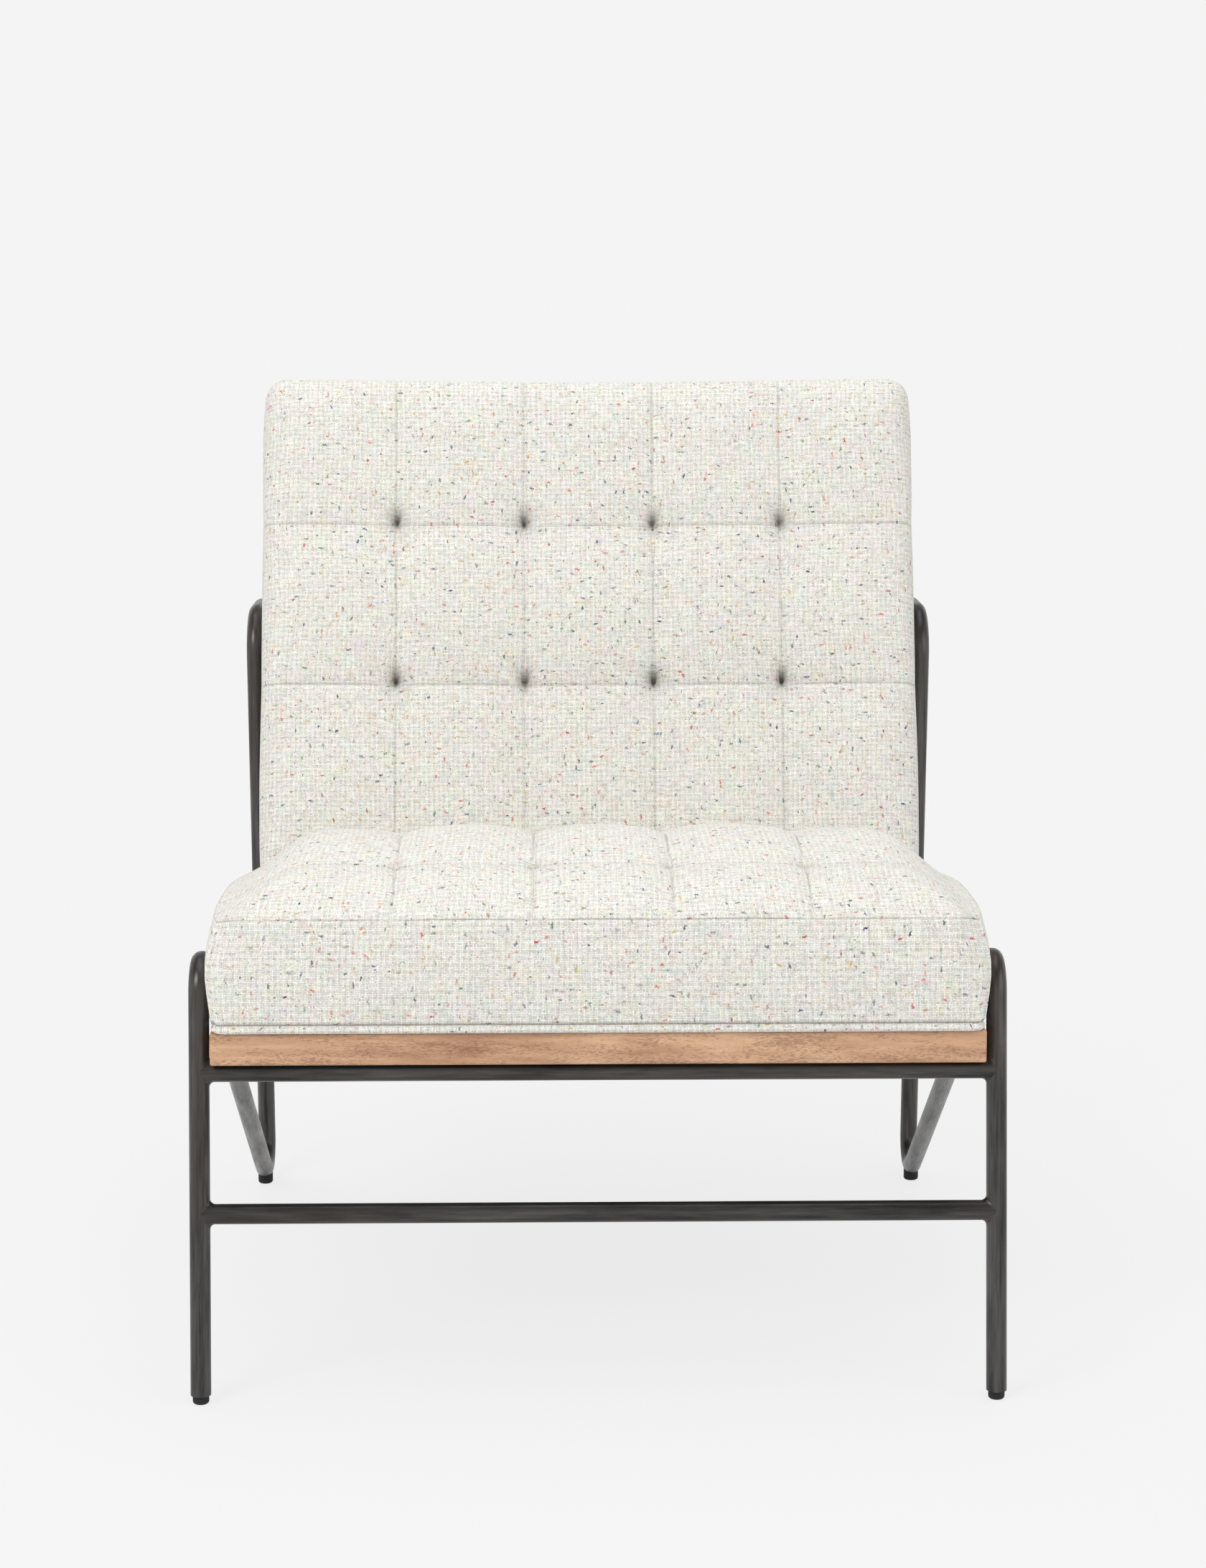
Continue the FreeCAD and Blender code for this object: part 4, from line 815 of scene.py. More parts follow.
# The front seam turns back at its corners
corner = eased(abs(seat_face[:, :, 0]), 0.296, 0.332)
front_pull = np.exp(-np.maximum(seat_face[:, :, 1] - SEAT_SEAM_ROWS[0], 0) / 0.02)
seat_face[:, :, 1] += corner ** 2 * front_pull * 0.018
seat_face[:, :, 2] -= corner ** 2 * front_pull * 0.004
fullness = (puff_share(seat_columns, COLUMNS, (0.85, 0.85))[None, :]
            * puff_share(seat_rows, len(SEAT_SEAM_ROWS) - 1, (0, 0))[:, None])
fullness *= 0.72 + 0.28 * eased(seat_face[:, :, 1], 0.06, 0.16)
seat_face += grid_normals(seat_face) * (fullness * SEAT_PUFF)[:, :, None]
highest = float(on_seat(seat_face)[:, :, 2].max())
print("seat face grid", seat_face.shape[:2], "highest", round(highest, 4))

# %% [markdown]
# The band is the strip of cloth round the cushion. Straight walls would look like a box, so it is
# laid as rings from the face down to the base: the side swells over the bend of the tube, the
# front bulges a little, and the last rings tuck in above the welt.

# %% The seat's band and the whole cushion
BAND_SHARES = np.concatenate(
    [[0.007, 0.018, 0.036], np.linspace(0.07, 0.955, 25), [0.973, 0.988, 1.0]])
# How far the side swells on its way down, over the bend of the tube
SIDE_SWELL = np.array([(0.0, 0.0), (0.08, 0.0018), (0.18, 0.0042), (0.30, 0.0066), (0.42, 0.0080),
                       (0.56, 0.0076), (0.70, 0.0058), (0.85, 0.0034), (1.0, 0.0010)])
BASE_CORNER = 0.009
BASE_SIDE = 0.3335
FRONT_CORNER = 0.0055
FRONT_SWELL = 0.0030
TUCK = 0.0024


def cloth_of_face(face):
    """Each point's place on the flat cloth, by the lengths walked along and across the grid."""
    middle = face.shape[1] // 2
    across = np.stack([arc_lengths(row) for row in face])
    across -= across[:, middle:middle + 1]
    upward = np.broadcast_to(arc_lengths(face[:, middle])[:, None], across.shape)
    return np.stack([across, upward], axis=-1)


def band_cloth(face, rings):
    """The band's cloth map: the way walked round, and the depth below the face."""
    walk = border(*face.shape[:2])
    loop = np.array([face[place] for place in walk] + [face[walk[0]]])
    round_way = arc_lengths(loop) + 3.0
    rows = []
    depth = 0.0
    above = np.array([face[place] for place in walk])
    rows.append(np.stack([round_way, np.full(len(round_way), depth)], axis=1))
    for ring in rings:
        depth += float(np.linalg.norm(ring - above, axis=1).mean())
        rows.append(np.stack([round_way, np.full(len(round_way), depth)], axis=1))
        above = ring
    return rows


def seat_rings(face):
    """Rings of points from the face's border down to the cushion's base."""
    walk = border(*face.shape[:2])
    top = np.array([face[place] for place in walk])
    side = eased(abs(top[:, 0]), 0.304, 0.331)
    front = eased(-top[:, 1], -0.020, 0.008)
    rear = eased(top[:, 1], 0.495, 0.503)
    slim = 1 - 0.5 * eased(top[:, 1], 0.30, 0.44)
    foot_x = np.sign(top[:, 0]) * np.minimum(abs(top[:, 0]) * 1.01, BASE_SIDE)
    turn = np.clip((abs(foot_x) - (BASE_SIDE - BASE_CORNER)) / BASE_CORNER, 0.0, 1.0)
    foot_y = SEAT_FRONT + BASE_CORNER * (1 - np.sqrt(1 - turn ** 2))
    forward = np.exp(-np.maximum(top[:, 1] - FRONT_CORNER, 0.0) / 0.03) * side
    foot_y = np.where(top[:, 1] > 0.004,
                      top[:, 1] - (FRONT_CORNER - SEAT_FRONT - BASE_CORNER) * forward, foot_y)
    rings = []
    for share in BAND_SHARES:
        swell = float(np.interp(share, SIDE_SWELL[:, 0], SIDE_SWELL[:, 1]))
        front_swell = FRONT_SWELL * math.sin(math.pi * share ** 0.8)
        tuck = TUCK * float(eased(share, 0.960, 1.0))
        ring = top.copy()
        outward = np.sign(top[:, 0]) * side * (swell * slim - tuck)
        ring[:, 0] = top[:, 0] * (1 - share) + foot_x * share + outward
        ring[:, 2] = top[:, 2] * (1 - share) + SEAT_BASE * share
        ring[:, 1] = top[:, 1] * (1 - share) + foot_y * share - front * (front_swell - tuck)
        ring[:, 1] -= rear * (top[:, 2] - ring[:, 2]) * math.tan(BACK_RECLINE)
        rings.append(ring)
    return rings


rings = seat_rings(seat_face)
seat_cushion = sewn_mesh(
    "seat_cushion", on_seat(seat_face), cloth_of_face(seat_face), [on_seat(ring) for ring in rings],
    band_cloth(seat_face, rings))
print("seat cushion has", len(seat_cushion.data.polygons), "faces")

# %% [markdown]
# While the air goes in, the upholsterer's stitches and twine hold the cloth. So each point of the
# coarse copy is asked how firmly it is held: fully at the base and tufts, less along a seam.

# %% Hold the seat and let the air in


def seat_hold(points):
    """Holds the base, the seams and most of all the tufts."""
    x = points[:, 0]
    y = points[:, 1] - FRONT_FOOT - SEAT_FOOT[0]
    z = points[:, 2] - SEAT_FOOT[1]
    hold = 1.0 - eased(z, SEAT_BASE, SEAT_BASE + 0.02)
    hold = np.maximum(hold, eased(y, 0.47, 0.50))
    hold = np.maximum(hold, eased(abs(x), 0.322, 0.328) * (1 - eased(z, 0.112, 0.124)))
    on_face = z > 0.10
    for column in TUFT_COLUMNS:
        beside = x - column * SEAT_PITCH
        hold = np.maximum(hold, on_face * bell(beside, 0.006) * 0.8)
        for row in SEAT_SEAM_ROWS[1:4]:
            hold = np.maximum(hold, on_face * bell(np.hypot(beside, y - row), 0.010))
    for row in SEAT_SEAM_ROWS[1:4]:
        hold = np.maximum(hold, on_face * bell(y - row, 0.006) * 0.7)
    front_seam = bell(np.hypot(y - SEAT_SEAM_ROWS[0], z - 0.1275), 0.012)
    return np.maximum(hold, front_seam)


filled_with_air(seat_cushion, seat_hold, 0.006)

# %% [markdown]
# The back cushion is one quilted face that rolls over all four edges, with a plain panel behind.
# Its eight tufts are pulled deeper than the seat's, and its seams run from edge to edge.

# %% The back's shape
BACK_SEAM_ROWS = (0.0, 0.2128, 0.3813, 0.541)
BACK_FACE = 0.0905
BACK_ROLL = 0.022
BACK_PUFF = 0.0085
BACK_PITCH = 0.1324
BACK_CORNER = 0.024
BACK_CROWN = 0.0035
back_columns = crowded_lines(COLUMNS)
back_rows = crowded_lines(len(BACK_SEAM_ROWS) - 1)


def back_point(column, row):
    """A point of the back's face before its puffs."""
    t = np.interp(row, range(len(BACK_SEAM_ROWS)), BACK_SEAM_ROWS)
    k = column - COLUMNS / 2
    seam = 1.5 * BACK_PITCH
    inner = k * BACK_PITCH
    outer = np.sign(k) * (seam + (abs(k) - 1.5) * (HALF_WIDTH - seam))
    x = np.where(abs(k) <= 1.5, inner, outer)
    return x, t


grid_columns, grid_rows = np.meshgrid(back_columns, back_rows)
x, t = back_point(grid_columns, grid_rows)
# The top edge dips a little in the middle, and both upper corners are round
top_edge = BACK_SEAM_ROWS[-1] - BACK_CROWN * np.cos(np.pi / 2 * np.clip(x / HALF_WIDTH, -1, 1)) ** 2
t = t * top_edge / BACK_SEAM_ROWS[-1]
straight = HALF_WIDTH - BACK_CORNER
across = np.clip((abs(x) - straight) / BACK_CORNER, 0, 1)
upward = np.clip((t - (top_edge - BACK_CORNER)) / BACK_CORNER, 0, 1)
x = np.sign(x) * (np.minimum(abs(x), straight) + BACK_CORNER * across * np.sqrt(1 - upward ** 2 / 2))
t = np.minimum(t, top_edge - BACK_CORNER) + BACK_CORNER * upward * np.sqrt(1 - across ** 2 / 2)
# Roll the face over its edges: distance in from the outline sets the depth
inset_side = HALF_WIDTH - abs(x)
inset_top = top_edge - t
corner_gap = np.hypot(np.maximum(0, BACK_CORNER - inset_side),
                      np.maximum(0, BACK_CORNER - inset_top))
in_corner = (inset_side < BACK_CORNER) & (inset_top < BACK_CORNER)
inset = np.where(in_corner, BACK_CORNER - corner_gap, np.minimum(inset_side, inset_top))
roll = np.clip(1 - inset / BACK_ROLL, 0, 1)
n = BACK_FACE - BACK_ROLL * (1 - np.sqrt(np.maximum(0, 1 - roll ** 2)))
back_face = np.stack([x, t, n], axis=-1)
fullness = (puff_share(back_columns, COLUMNS, (0.5, 0.5), 0.8)[None, :]
            * puff_share(back_rows, len(BACK_SEAM_ROWS) - 1, (0.4, 0.4), 0.8)[:, None])
back_face[:, :, 2] += fullness * BACK_PUFF * np.clip(inset / 0.03, 0, 1)
print("back face grid", back_face.shape[:2], "thickest", round(float(back_face[:, :, 2].max()), 4))

# %% [markdown]
# Behind the face, rings of points run round to the plain rear panel. They bulge a little, as
# cloth over foam does, and turn in at the last ones, where the panel's edge is.

# %% The back's sides and the whole cushion
BACK_RING_COUNT = 20
BACK_BULGE = 0.0022
BACK_TURN_IN = 0.004


def back_rings(face):
    """Rings from the face's border round to the panel behind."""
    walk = border(*face.shape[:2])
    top = np.array([face[place] for place in walk])
    outward = np.zeros((len(top), 2))
    outward[:, 0] = np.sign(top[:, 0]) * eased(abs(top[:, 0]), HALF_WIDTH - BACK_CORNER, HALF_WIDTH)
    outward[:, 1] = eased(top[:, 1], 0.541 - BACK_CORNER, 0.540) - eased(-top[:, 1], -0.001, 0.0)
    outward /= np.maximum(np.linalg.norm(outward, axis=1, keepdims=True), 1e-6)
    rings = []
    for step in range(1, BACK_RING_COUNT + 1):
        share = step / BACK_RING_COUNT
        ring = top.copy()
        bulge = BACK_BULGE * math.sin(math.pi * share) - BACK_TURN_IN * eased(share, 0.86, 1.0)
        ring[:, :2] += outward * bulge
        ring[:, 2] = top[:, 2] * (1 - share)
        rings.append(ring)
    return rings


rings = back_rings(back_face)
back_cushion = sewn_mesh(
    "back_cushion", on_back(back_face), cloth_of_face(back_face), [on_back(ring) for ring in rings],
    band_cloth(back_face, rings))
print("back cushion has", len(back_cushion.data.polygons), "faces")


def back_hold(points):
    """Holds the rear panel, the seams and the tufts."""
    y = points[:, 1] - FRONT_FOOT - BACK_FOOT[0]
    z = points[:, 2] - BACK_FOOT[1]
    x = points[:, 0]
    t = y * math.sin(BACK_RECLINE) + z * math.cos(BACK_RECLINE)
    n = -y * math.cos(BACK_RECLINE) + z * math.sin(BACK_RECLINE)
    hold = 1.0 - eased(n, 0.0, 0.045)
    hold = np.maximum(hold, 1.0 - eased(t, 0.0, 0.05))
    on_face = n > 0.07
    for column in TUFT_COLUMNS:
        beside = x - column * BACK_PITCH
        hold = np.maximum(hold, on_face * bell(beside, 0.006) * 0.75)
        for row in BACK_SEAM_ROWS[1:3]:
            hold = np.maximum(hold, on_face * bell(np.hypot(beside, t - row), 0.010))
    for row in BACK_SEAM_ROWS[1:3]:
        hold = np.maximum(hold, on_face * bell(t - row, 0.006) * 0.75)
    return hold


filled_with_air(back_cushion, back_hold, 0.005)

# %% [markdown]
# Seams and tufts come after the air. Along a seam the cloth dips in a narrow groove with small
# puckers, and at a tuft the twine pulls a deep dimple that gathers folds round it like a star.
# The same walk over the face also notes how much shade is painted into the cloth's colour at each
# point: deep in the tufts, faint along the seams, and on the lowest rings of the band.

# %% Sew the seams and pull the tufts
DEEPEST_TUFT = 0.0210


def seam_dip(gap, along, groove, draw):
    """How deep the cloth lies beside a seam: a narrow groove with puckers, in a faint dip."""
    pucker = 1 + 0.30 * np.sin(along / 0.0085 + draw.uniform(0, 6) + 1.7 * np.sin(along / 0.031))
    return groove * (bell(gap, 0.0007) + 0.24 * pucker * bell(gap, 0.0045))


def sew(piece, columns, rows, column_seams, row_seams, column_groove, row_groove, tuft, lift, foot,
        seed):
    """Sinks a quilted face along its seams and at its tufts.

    The grooves and the tuft are depths, lift is how far up a dimple lies from its crossing, and
    foot tells how much shade is painted on the lowest rings of the band. Shade is also painted
    along the seams and in the tufts, and kept on the mesh for the cloth's colour.
    """
    points = coords(piece.data)
    shape = (len(rows), len(columns))
    face = points[:shape[0] * shape[1]].reshape(*shape, 3)
    normals = grid_normals(face)
    draw = np.random.default_rng(seed)
    sink = np.zeros(shape)
    hollow = np.zeros(shape)
    for number in column_seams:
        i = nearest(columns, number)
        gap = np.linalg.norm(face - face[:, i:i + 1], axis=2)
        along = arc_lengths(face[:, i])[:, None]
        sink += seam_dip(gap, along, column_groove, draw)
        # Painted shade along the seam's line
        hollow = np.maximum(hollow, 0.13 * bell(gap, 0.0009))
    for number in row_seams:
        j = nearest(rows, number)
        gap = np.linalg.norm(face - face[j:j + 1], axis=2)
        along = arc_lengths(face[j])[None, :]
        sink += seam_dip(gap, along, row_groove, draw)
        # Painted shade along the seam's line
        hollow = np.maximum(hollow, 0.18 * bell(gap, 0.0009))
    pull = np.zeros_like(face)
    for j, i in [(nearest(rows, row), nearest(columns, column)) for row in row_seams if row > 0
                 for column in column_seams if 0 < column < COLUMNS]:
        offset = face - face[j, i]
        gap = np.linalg.norm(offset, axis=2)
        side = offset[:, :, 0]
        rise = np.sqrt(np.maximum(gap ** 2 - side ** 2, 0)) * np.sign(offset[:, :, 2] + 1e-9)
        angle = np.arctan2(rise, side)
        above = rise - lift
        slit = np.sqrt(side ** 2 + np.where(above > 0, above / 2.1, above / 1.3) ** 2)
        star = 1 + 0.22 * np.cos(5 * angle + draw.uniform(0, 6)) * bell(gap - 0.014, 0.012)
        sink += tuft * star * (0.66 * bell(slit, 0.0040, 1.25) + 0.34 * bell(gap, 0.023, 1.4))
        # Painted shade, deep in the tuft's pit and faint round it
        pit_shade = 0.85 * bell(slit, 0.0046, 1.5) + 0.22 * bell(gap, 0.015)
        hollow = np.maximum(hollow, tuft / DEEPEST_TUFT * pit_shade)
        pull -= offset * (0.16 * bell(gap, 0.014))[:, :, None]
    face = face - normals * sink[:, :, None] + pull
    points[:shape[0] * shape[1]] = face.reshape(-1, 3)
    set_coords(piece.data, points)
    # The painted shade is kept on the mesh as an attribute for the cloth's colour
    shares = np.zeros(len(points), dtype=np.float32)
    shares[:hollow.size] = hollow.ravel()
    around = 2 * sum(shape) - 4
    # Painted shade on the band's lowest rings, darkest on the lowest
    for level, share in enumerate(reversed(foot), start=1):
        shares[len(shares) - level * around:len(shares) - (level - 1) * around] = share
    piece.data.attributes.new("hollow", "FLOAT", "POINT").data.foreach_set("value", shares)
    piece.data.update()
    print(piece.name, "is sewn, deepest", round(float(sink.max()) * 1000, 1), "mm")


# The seat's foot values paint shade on its band's three lowest rings, from the highest down
sew(seat_cushion, seat_columns, seat_rows, column_seams=(0, 1, 2, 3, 4, 5), row_seams=(0, 1, 2, 3),
    column_groove=0.0009, row_groove=0.0018, tuft=0.0080, lift=0.0, foot=(0.10, 0.60, 1.0), seed=11)
sew(back_cushion, back_columns, back_rows, column_seams=(1, 2, 3, 4), row_seams=(1, 2),
    column_groove=0.0014, row_groove=0.0015, tuft=DEEPEST_TUFT, lift=0.0055, foot=(), seed=12)

for piece, names in ((seat_cushion, ("seat_cover", "seat_foam")),
                     (back_cushion, ("back_cover", "back_foam"))):
    piece.data.materials.append(cushion_cloth)
    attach(piece, "root")
    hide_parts(*names)

# %% [markdown]
# The welt is a cord of cloth sewn round the seat's base. It follows a path, so Geometry Nodes
# sweep it: the tree takes a path, a radius and a material, and also stores where each point lies
# on the strip of cloth.

# %% Grow a piece along a path


def node_tree(name, inputs):
    """A Geometry Nodes tree with named inputs."""
    tree = bpy.data.node_groups.new(name, "GeometryNodeTree")
    tree.interface.new_socket(name="Geometry", in_out="INPUT", socket_type="NodeSocketGeometry")
    for label, kind in inputs.items():
        tree.interface.new_socket(name=label, in_out="INPUT", socket_type="NodeSocket" + kind)
    tree.interface.new_socket(name="Geometry", in_out="OUTPUT", socket_type="NodeSocketGeometry")
    wiring = Wiring(tree)
    return wiring, wiring.add("NodeGroupInput").outputs, wiring.add("NodeGroupOutput").inputs


def line_object(name, lines, closed=False):
    """Open or closed lines of points as an object of edges only."""
    points = []
    edges = []
    for line in lines:
        first = len(points)
        points += [tuple(point) for point in line]
        edges += [(first + k, first + k + 1) for k in range(len(line) - 1)]
        if closed:
            edges.append((len(points) - 1, first))
    mesh = bpy.data.meshes.new(name)
    mesh.from_pydata(points, edges, [])
    piece = bpy.data.objects.new(name, mesh)
    scene.collection.objects.link(piece)
    return piece


def grown(piece, tree, values):
    """Runs a tree on a piece with these inputs and keeps the plain mesh."""
    modifier = piece.modifiers.new(tree.name, "NODES")
    modifier.node_group = tree
    for socket in tree.interface.items_tree:
        if socket.in_out == "INPUT" and socket.name in values:
            modifier[socket.identifier] = values[socket.name]
    bpy.context.view_layer.update()
    depsgraph = bpy.context.evaluated_depsgraph_get()
    mesh = bpy.data.meshes.new_from_object(piece.evaluated_get(depsgraph))
    result = bpy.data.objects.new(piece.name.replace("_path", ""), mesh)
    scene.collection.objects.link(result)
    bpy.data.objects.remove(piece)
    print(result.name, "has", len(mesh.polygons), "faces")
    return result


# %% [markdown]
# The welt's own tree: the path becomes a curve, a circle is swept along it, and the length walked
# along the path and round the circle is kept as the cloth map.

# %% The welt's tree
welt, given, result = node_tree("Welt", {"Radius": "Float", "Sides": "Int", "Material": "Material"})
path = welt.add("GeometryNodeMeshToCurve", {"Mesh": given["Geometry"]}).outputs[0]
walked = welt.add("GeometryNodeCaptureAttribute", {"Geometry": path}, domain="POINT")
walked.capture_items.new("FLOAT", "walked")
welt.put(welt.add("GeometryNodeSplineParameter").outputs["Length"], walked.inputs[1])
ring = welt.add("GeometryNodeCurvePrimitiveCircle", {
    "Resolution": given["Sides"], "Radius": given["Radius"]})
turned = welt.add("GeometryNodeCaptureAttribute", {"Geometry": ring.outputs[0]}, domain="POINT")
turned.capture_items.new("FLOAT", "turned")
welt.put(welt.add("GeometryNodeSplineParameter").outputs["Length"], turned.inputs[1])
swept = welt.add("GeometryNodeCurveToMesh", {
    "Curve": walked.outputs[0], "Profile Curve": turned.outputs[0], "Fill Caps": True})
place = welt.combine(walked.outputs[1], turned.outputs[1])
stored = welt.add("GeometryNodeStoreNamedAttribute", {
    "Geometry": swept.outputs[0], "Name": "cloth", "Value": place}, data_type="FLOAT2", domain="CORNER")
smooth = welt.add("GeometryNodeSetShadeSmooth", {"Geometry": stored.outputs[0]})
dressed = welt.add("GeometryNodeSetMaterial", {
    "Geometry": smooth.outputs[0], "Material": given["Material"]})
welt.put(dressed.outputs[0], result["Geometry"])
print("welt tree has", len(welt.tree.nodes), "boxes")

# %% [markdown]
# The path is the base's outline moved a little inwards. So the cord stands out by only a part of
# its thickness, as sewn piping does, instead of hanging beside the band.

# %% Sweep the welt round the seat
WELT_INSET = 0.0026
WELT_END = 0.470
WELT_LEVEL = 0.0322
WELT_RADIUS = 0.0037


def welt_path():
    """The seat's base outline, from the back round the front and to the back again."""
    corner = BASE_CORNER
    side = BASE_SIDE - WELT_INSET
    front = SEAT_FRONT + WELT_INSET
    points = [(side, s) for s in np.linspace(WELT_END, front + corner, 110)]
    points += [(side - corner + corner * math.cos(a), front + corner - corner * math.sin(a))
               for a in np.linspace(0.0, math.pi / 2, 12)[1:]]
    points += [(x, front) for x in np.linspace(side - corner, 0.0, 110)[1:]]
    points += [(-x, s) for x, s in points[-2::-1]]
    return on_seat([(x, s, WELT_LEVEL) for x, s in points])


seat_welt = grown(line_object("seat_welt_piping_path", [welt_path()]), welt.tree,
                  {"Radius": WELT_RADIUS, "Sides": 16, "Material": cushion_cloth})
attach(seat_welt, "root")
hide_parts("seat_welt")

# %% [markdown]
# The seat is carried by jute webbing, pulled over the rails and woven like a basket: at each
# crossing one strap goes over and its neighbour goes under. A strap is a flat strip along a path,
# so one small tree sweeps all of them, and only the paths say who goes over whom.

# %% The webbing's tree
webbing, given, result = node_tree(
    "Webbing", {"Width": "Float", "Thickness": "Float", "Material": "Material"})
path = webbing.add("GeometryNodeMeshToCurve", {"Mesh": given["Geometry"]}).outputs[0]
upright = webbing.add("GeometryNodeSetCurveNormal", {"Curve": path}, mode="Z_UP").outputs[0]
strip = webbing.add("GeometryNodeCurvePrimitiveQuadrilateral", {
    "Width": given["Width"], "Height": given["Thickness"]})
swept = webbing.add("GeometryNodeCurveToMesh", {
    "Curve": upright, "Profile Curve": strip.outputs[0], "Fill Caps": True})
dressed = webbing.add("GeometryNodeSetMaterial", {
    "Geometry": swept.outputs[0], "Material": given["Material"]})
webbing.put(dressed.outputs[0], result["Geometry"])
print("webbing tree has", len(webbing.tree.nodes), "boxes")

# %% [markdown]
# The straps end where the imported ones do. Each path rises over one crossing and dips under the
# next, and the paths beside it do the opposite, so no two straps lie in each other.

# %% Weave the webbing
STRAP_LEVEL = 0.0305
STRAP_WIDTH = 0.050
STRAP_THICKNESS = 0.0012
STRAP_LIFT = 0.0009
LONG_STRAPS = (-0.2468, -0.1234, 0.0, 0.1234, 0.2468)
CROSS_STRAPS = (-0.2648, -0.1253, 0.0142, 0.1537)


def along_seat(y):
    """How far along the seat a point at the straps' level lies."""
    return (y - FRONT_FOOT - SEAT_FOOT[0] - STRAP_LEVEL * math.sin(SEAT_RAKE)) / math.cos(SEAT_RAKE)


def strap_path(start, end, crossings, first_over):
    """A strap's way along the seat or across it, with its height at each crossing."""
    way = np.linspace(start, end, 121)
    height = np.full(len(way), STRAP_LEVEL)
    for number, crossing in enumerate(crossings):
        side = 1.0 if (number + first_over) % 2 else -1.0
        height += side * STRAP_LIFT * bell(way - crossing, 0.034, 4)
    return way, height


lowest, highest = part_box("long_straps")
long_paths = []
for number, x in enumerate(LONG_STRAPS):
    way, height = strap_path(along_seat(lowest[1]), along_seat(highest[1]),
                             [along_seat(y) for y in CROSS_STRAPS], number)
    long_paths.append(on_seat(np.stack([np.full(len(way), x), way, height], axis=1)))
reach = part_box("cross_straps")[1][0]
cross_paths = []
for number, y in enumerate(CROSS_STRAPS):
    way, height = strap_path(-reach, reach, LONG_STRAPS, number + 1)
    cross_paths.append(on_seat(np.stack([way, np.full(len(way), along_seat(y)), height], axis=1)))
for name, paths, node, length in (("long_webbing", long_paths, "long_straps", highest[1] - lowest[1]),
                                  ("cross_webbing", cross_paths, "cross_straps", 2 * reach)):
    strap = grown(line_object(name + "_path", paths), webbing.tree,
                  {"Width": STRAP_WIDTH, "Thickness": STRAP_THICKNESS, "Material": jute})
    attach(strap, "root")
    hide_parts(node)

# %% [markdown]
# Over the straps lies a felt lining, and a black dust cover closes the seat from below. Both are
# stretched flat, so each is a thin sheet with hardly any sag.

# %% The layers under the seat


def thin_sheet(name, corners, thickness, divisions, sag):
    """A stretched cloth with a slight sag, as a thin closed sheet on the seat's place."""
    (x0, s0), (x1, s1), h = corners
    bm = bmesh.new()
    grid = [[bm.verts.new((x0 + (x1 - x0) * i / divisions, s0 + (s1 - s0) * j / divisions, 0.0))
             for i in range(divisions + 1)] for j in range(divisions + 1)]
    for j in range(divisions):
        for i in range(divisions):
            bm.faces.new((grid[j][i], grid[j][i + 1], grid[j + 1][i + 1], grid[j + 1][i]))
    mesh = bpy.data.meshes.new(name)
    bm.to_mesh(mesh)
    bm.free()
    flat = coords(mesh)
    u = (flat[:, 0] - x0) / (x1 - x0)
    v = (flat[:, 1] - s0) / (s1 - s0)
    flat[:, 2] = h - sag * np.sin(np.pi * u) * np.sin(np.pi * v)
    mesh.polygons.foreach_set("use_smooth", [True] * len(mesh.polygons))
    set_coords(mesh, on_seat(flat))
    piece = bpy.data.objects.new(name, mesh)
    scene.collection.objects.link(piece)
    solid = piece.modifiers.new("Thickness", "SOLIDIFY")
    solid.thickness = thickness
    solid.offset = 0.0
    return piece


# Two corners, the level, the thickness, the divisions and the sag
dust_sheet = thin_sheet(
    "dust_sheet", ((-0.3235, 0.012), (0.3235, 0.620), -0.0006), 0.0006, 40, 0.003)
lining_sheet = thin_sheet(
    "lining_sheet", ((-0.2995, -0.0075), (0.2995, 0.470), 0.0328), 0.0016, 24, 0.0)
print("stretched", dust_sheet.name, "and", lining_sheet.name)
for piece, node, slot, material, flat in (
        (dust_sheet, "dust_cover", "dust_cloth", dust_cloth, (0.647, 0.608)),
        (lining_sheet, "seat_lining", "lining", felt, (0.599, 0.4775))):
    piece.data.materials.append(material)
    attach(piece, "root")
    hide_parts(node)

# %% [markdown]
# The studio is a plain pale sweep with no horizon. A white floor with strong light would burn out
# the cream cloth, so the light stays plain and the floor itself is pale: the camera, a reflection
# and anything seen through see it as a flat backdrop. Near the chair a share of the real floor is
# mixed in, so that the soft shadow under it is kept.

# %% The floor
BACKDROP = srgb(244, 244, 244)
FLOOR_REACH = 30


def seen_directly(wiring):
    """Whether the camera or a reflection looks here and not the light; and reflections alone."""
    rays = wiring.add("ShaderNodeLightPath").outputs
    mirrored = wiring.math("MAXIMUM", rays["Is Glossy Ray"], rays["Is Transmission Ray"])
    return wiring.math("MAXIMUM", rays["Is Camera Ray"], mirrored), rays["Is Glossy Ray"]


floor_mesh = bpy.data.meshes.new("studio_floor")
corners = [(x * FLOOR_REACH, y * FLOOR_REACH, 0) for x, y in ((-1, -1), (1, -1), (1, 1), (-1, 1))]
floor_mesh.from_pydata(corners, [], [(0, 1, 2, 3)])
floor = bpy.data.objects.new("studio_floor", floor_mesh)
scene.collection.objects.link(floor)
material, wiring, surface = new_material("Studio floor")
surface.inputs["Base Color"].default_value = srgb(236, 236, 236)
surface.inputs["Roughness"].default_value = 0.9
surface.inputs["Specular IOR Level"].default_value = 0.0
glow = wiring.add("ShaderNodeEmission", {"Color": BACKDROP, "Strength": 1.0})
seen, _ = seen_directly(wiring)
away = wiring.add("ShaderNodeVectorMath", {0: wiring.add("ShaderNodeTexCoord").outputs["Object"]},
                  operation="LENGTH").outputs["Value"]
flatness = wiring.add("ShaderNodeMapRange", {
    "Value": away, "From Min": 0.5, "From Max": 1.6, "To Min": 0.87, "To Max": 1.0},
    interpolation_type="SMOOTHSTEP").outputs[0]
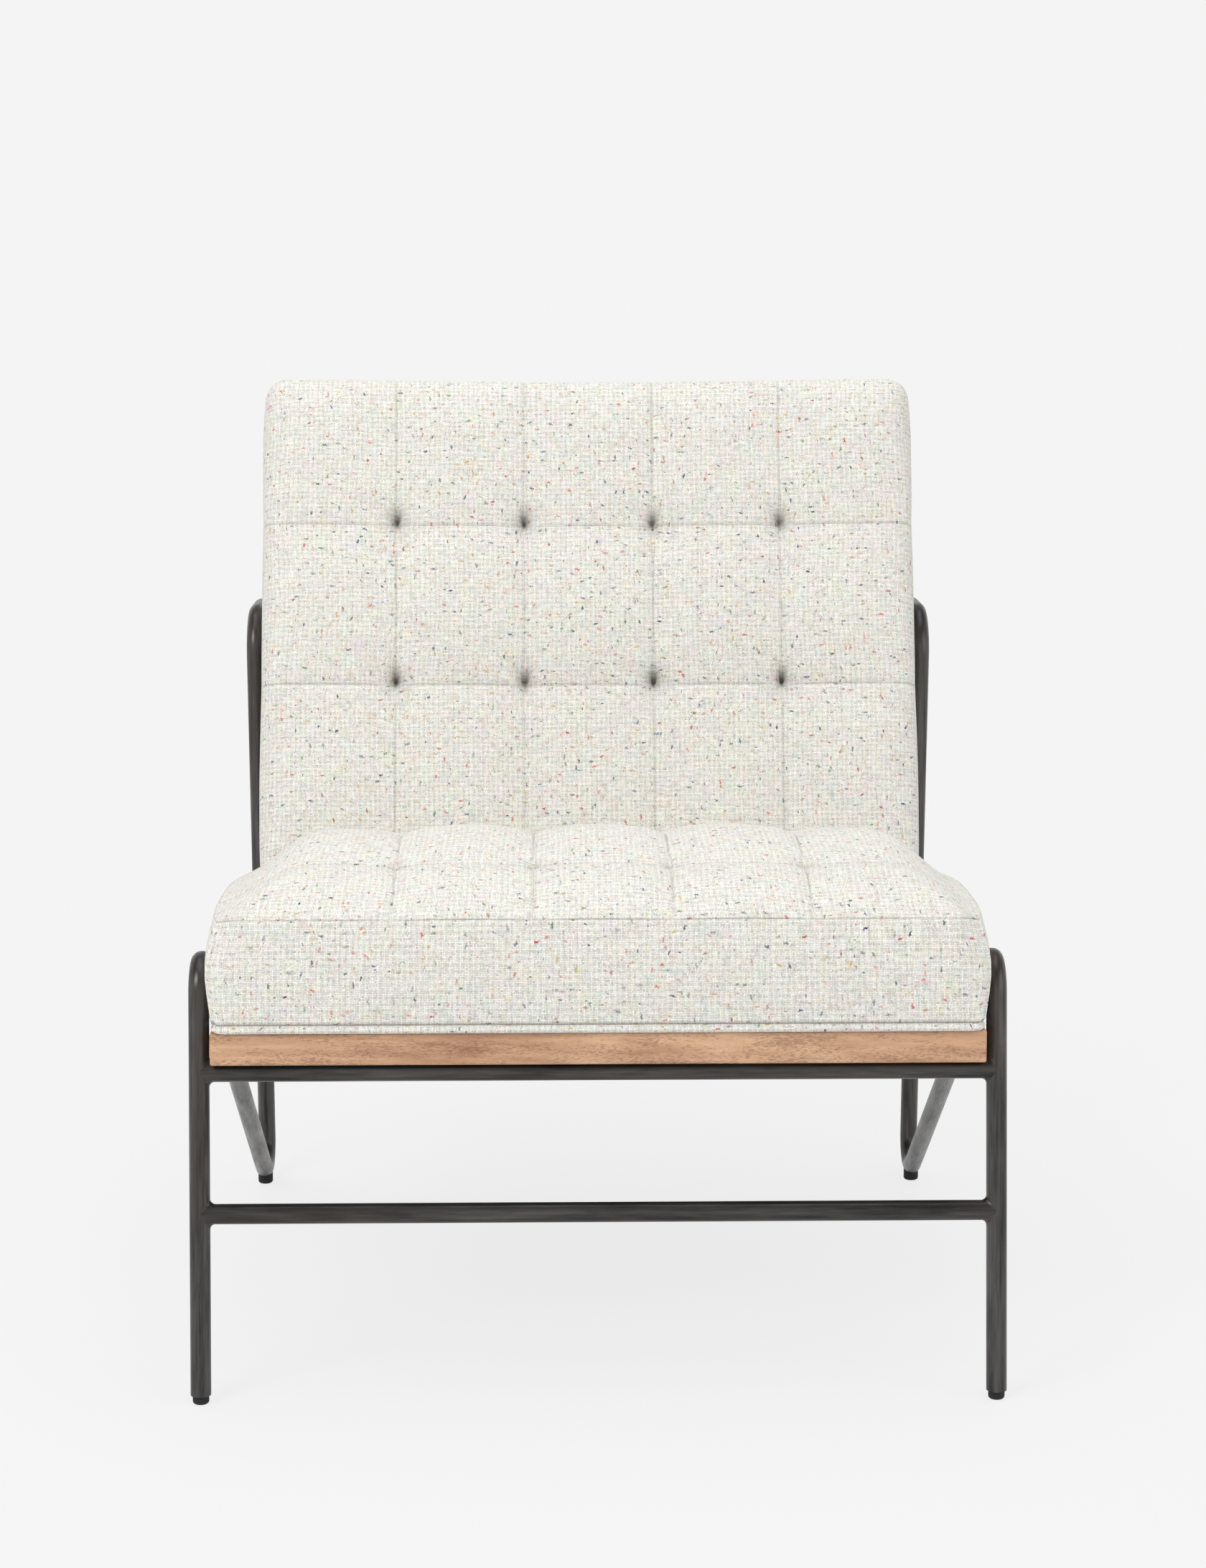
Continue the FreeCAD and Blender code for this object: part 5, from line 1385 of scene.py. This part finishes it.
both = wiring.add("ShaderNodeMixShader", {
    0: wiring.times(seen, flatness), 1: surface.outputs[0], 2: glow.outputs[0]})
wiring.put(both.outputs[0], wiring.tree.nodes["Material Output"].inputs["Surface"])
floor_mesh.materials.append(material)
print("floor spans", floor.dimensions[0], "m")

# %% [markdown]
# The world lights evenly from all round and is the same pale backdrop to the eye. A real studio
# has a dark ceiling, and a tube shows it as a dark line along its top, so reflections fade
# towards it.

# %% The world
world = bpy.data.worlds.new("Studio")
scene.world = world
world.use_nodes = True
sky = Wiring(world.node_tree)
seen, mirrored = seen_directly(sky)
above = sky.separate(sky.add("ShaderNodeTexCoord").outputs["Generated"])[2]
ceiling = sky.times(mirrored, sky.spread(above, 0.25, 0.80, 0.0, 0.85))
lighting = sky.add("ShaderNodeBackground", {"Color": (1.0, 1.0, 1.0, 1.0), "Strength": 0.74})
backdrop = sky.add("ShaderNodeBackground", {
    "Color": BACKDROP, "Strength": sky.math("SUBTRACT", 1.0, ceiling)})
both = sky.add("ShaderNodeMixShader", {0: seen, 1: lighting.outputs[0], 2: backdrop.outputs[0]})
sky.put(both.outputs[0], world.node_tree.nodes["World Output"].inputs["Surface"])
print("world has", len(world.node_tree.nodes), "boxes")

# %% [markdown]
# Three large panels light the chair as softboxes would: the key from the left and above gives the
# puffs their shape, the fill from the right keeps the shaded side open, and the top one lifts the
# seat.

# %% The lamps
# Each lamp's place, size and power
LAMPS = {
    "key_panel": ((-1.9, -2.3, 2.9), 1.4, 52.0),
    "fill_panel": ((2.4, -2.0, 1.8), 2.4, 17.0),
    "top_panel": ((0.0, 0.2, 3.2), 2.6, 26.0),
}
AIM = Vector((0, 0, 0.4))
for name, (place, size, power) in LAMPS.items():
    lamp = bpy.data.objects.new(name, bpy.data.lights.new(name, "AREA"))
    lamp.data.size = size
    lamp.data.energy = power
    lamp.location = place
    lamp.rotation_euler = (AIM - Vector(place)).to_track_quat("-Z", "Y").to_euler()
    scene.collection.objects.link(lamp)
scene.view_settings.view_transform = "Standard"
print("lamps", ", ".join(LAMPS))
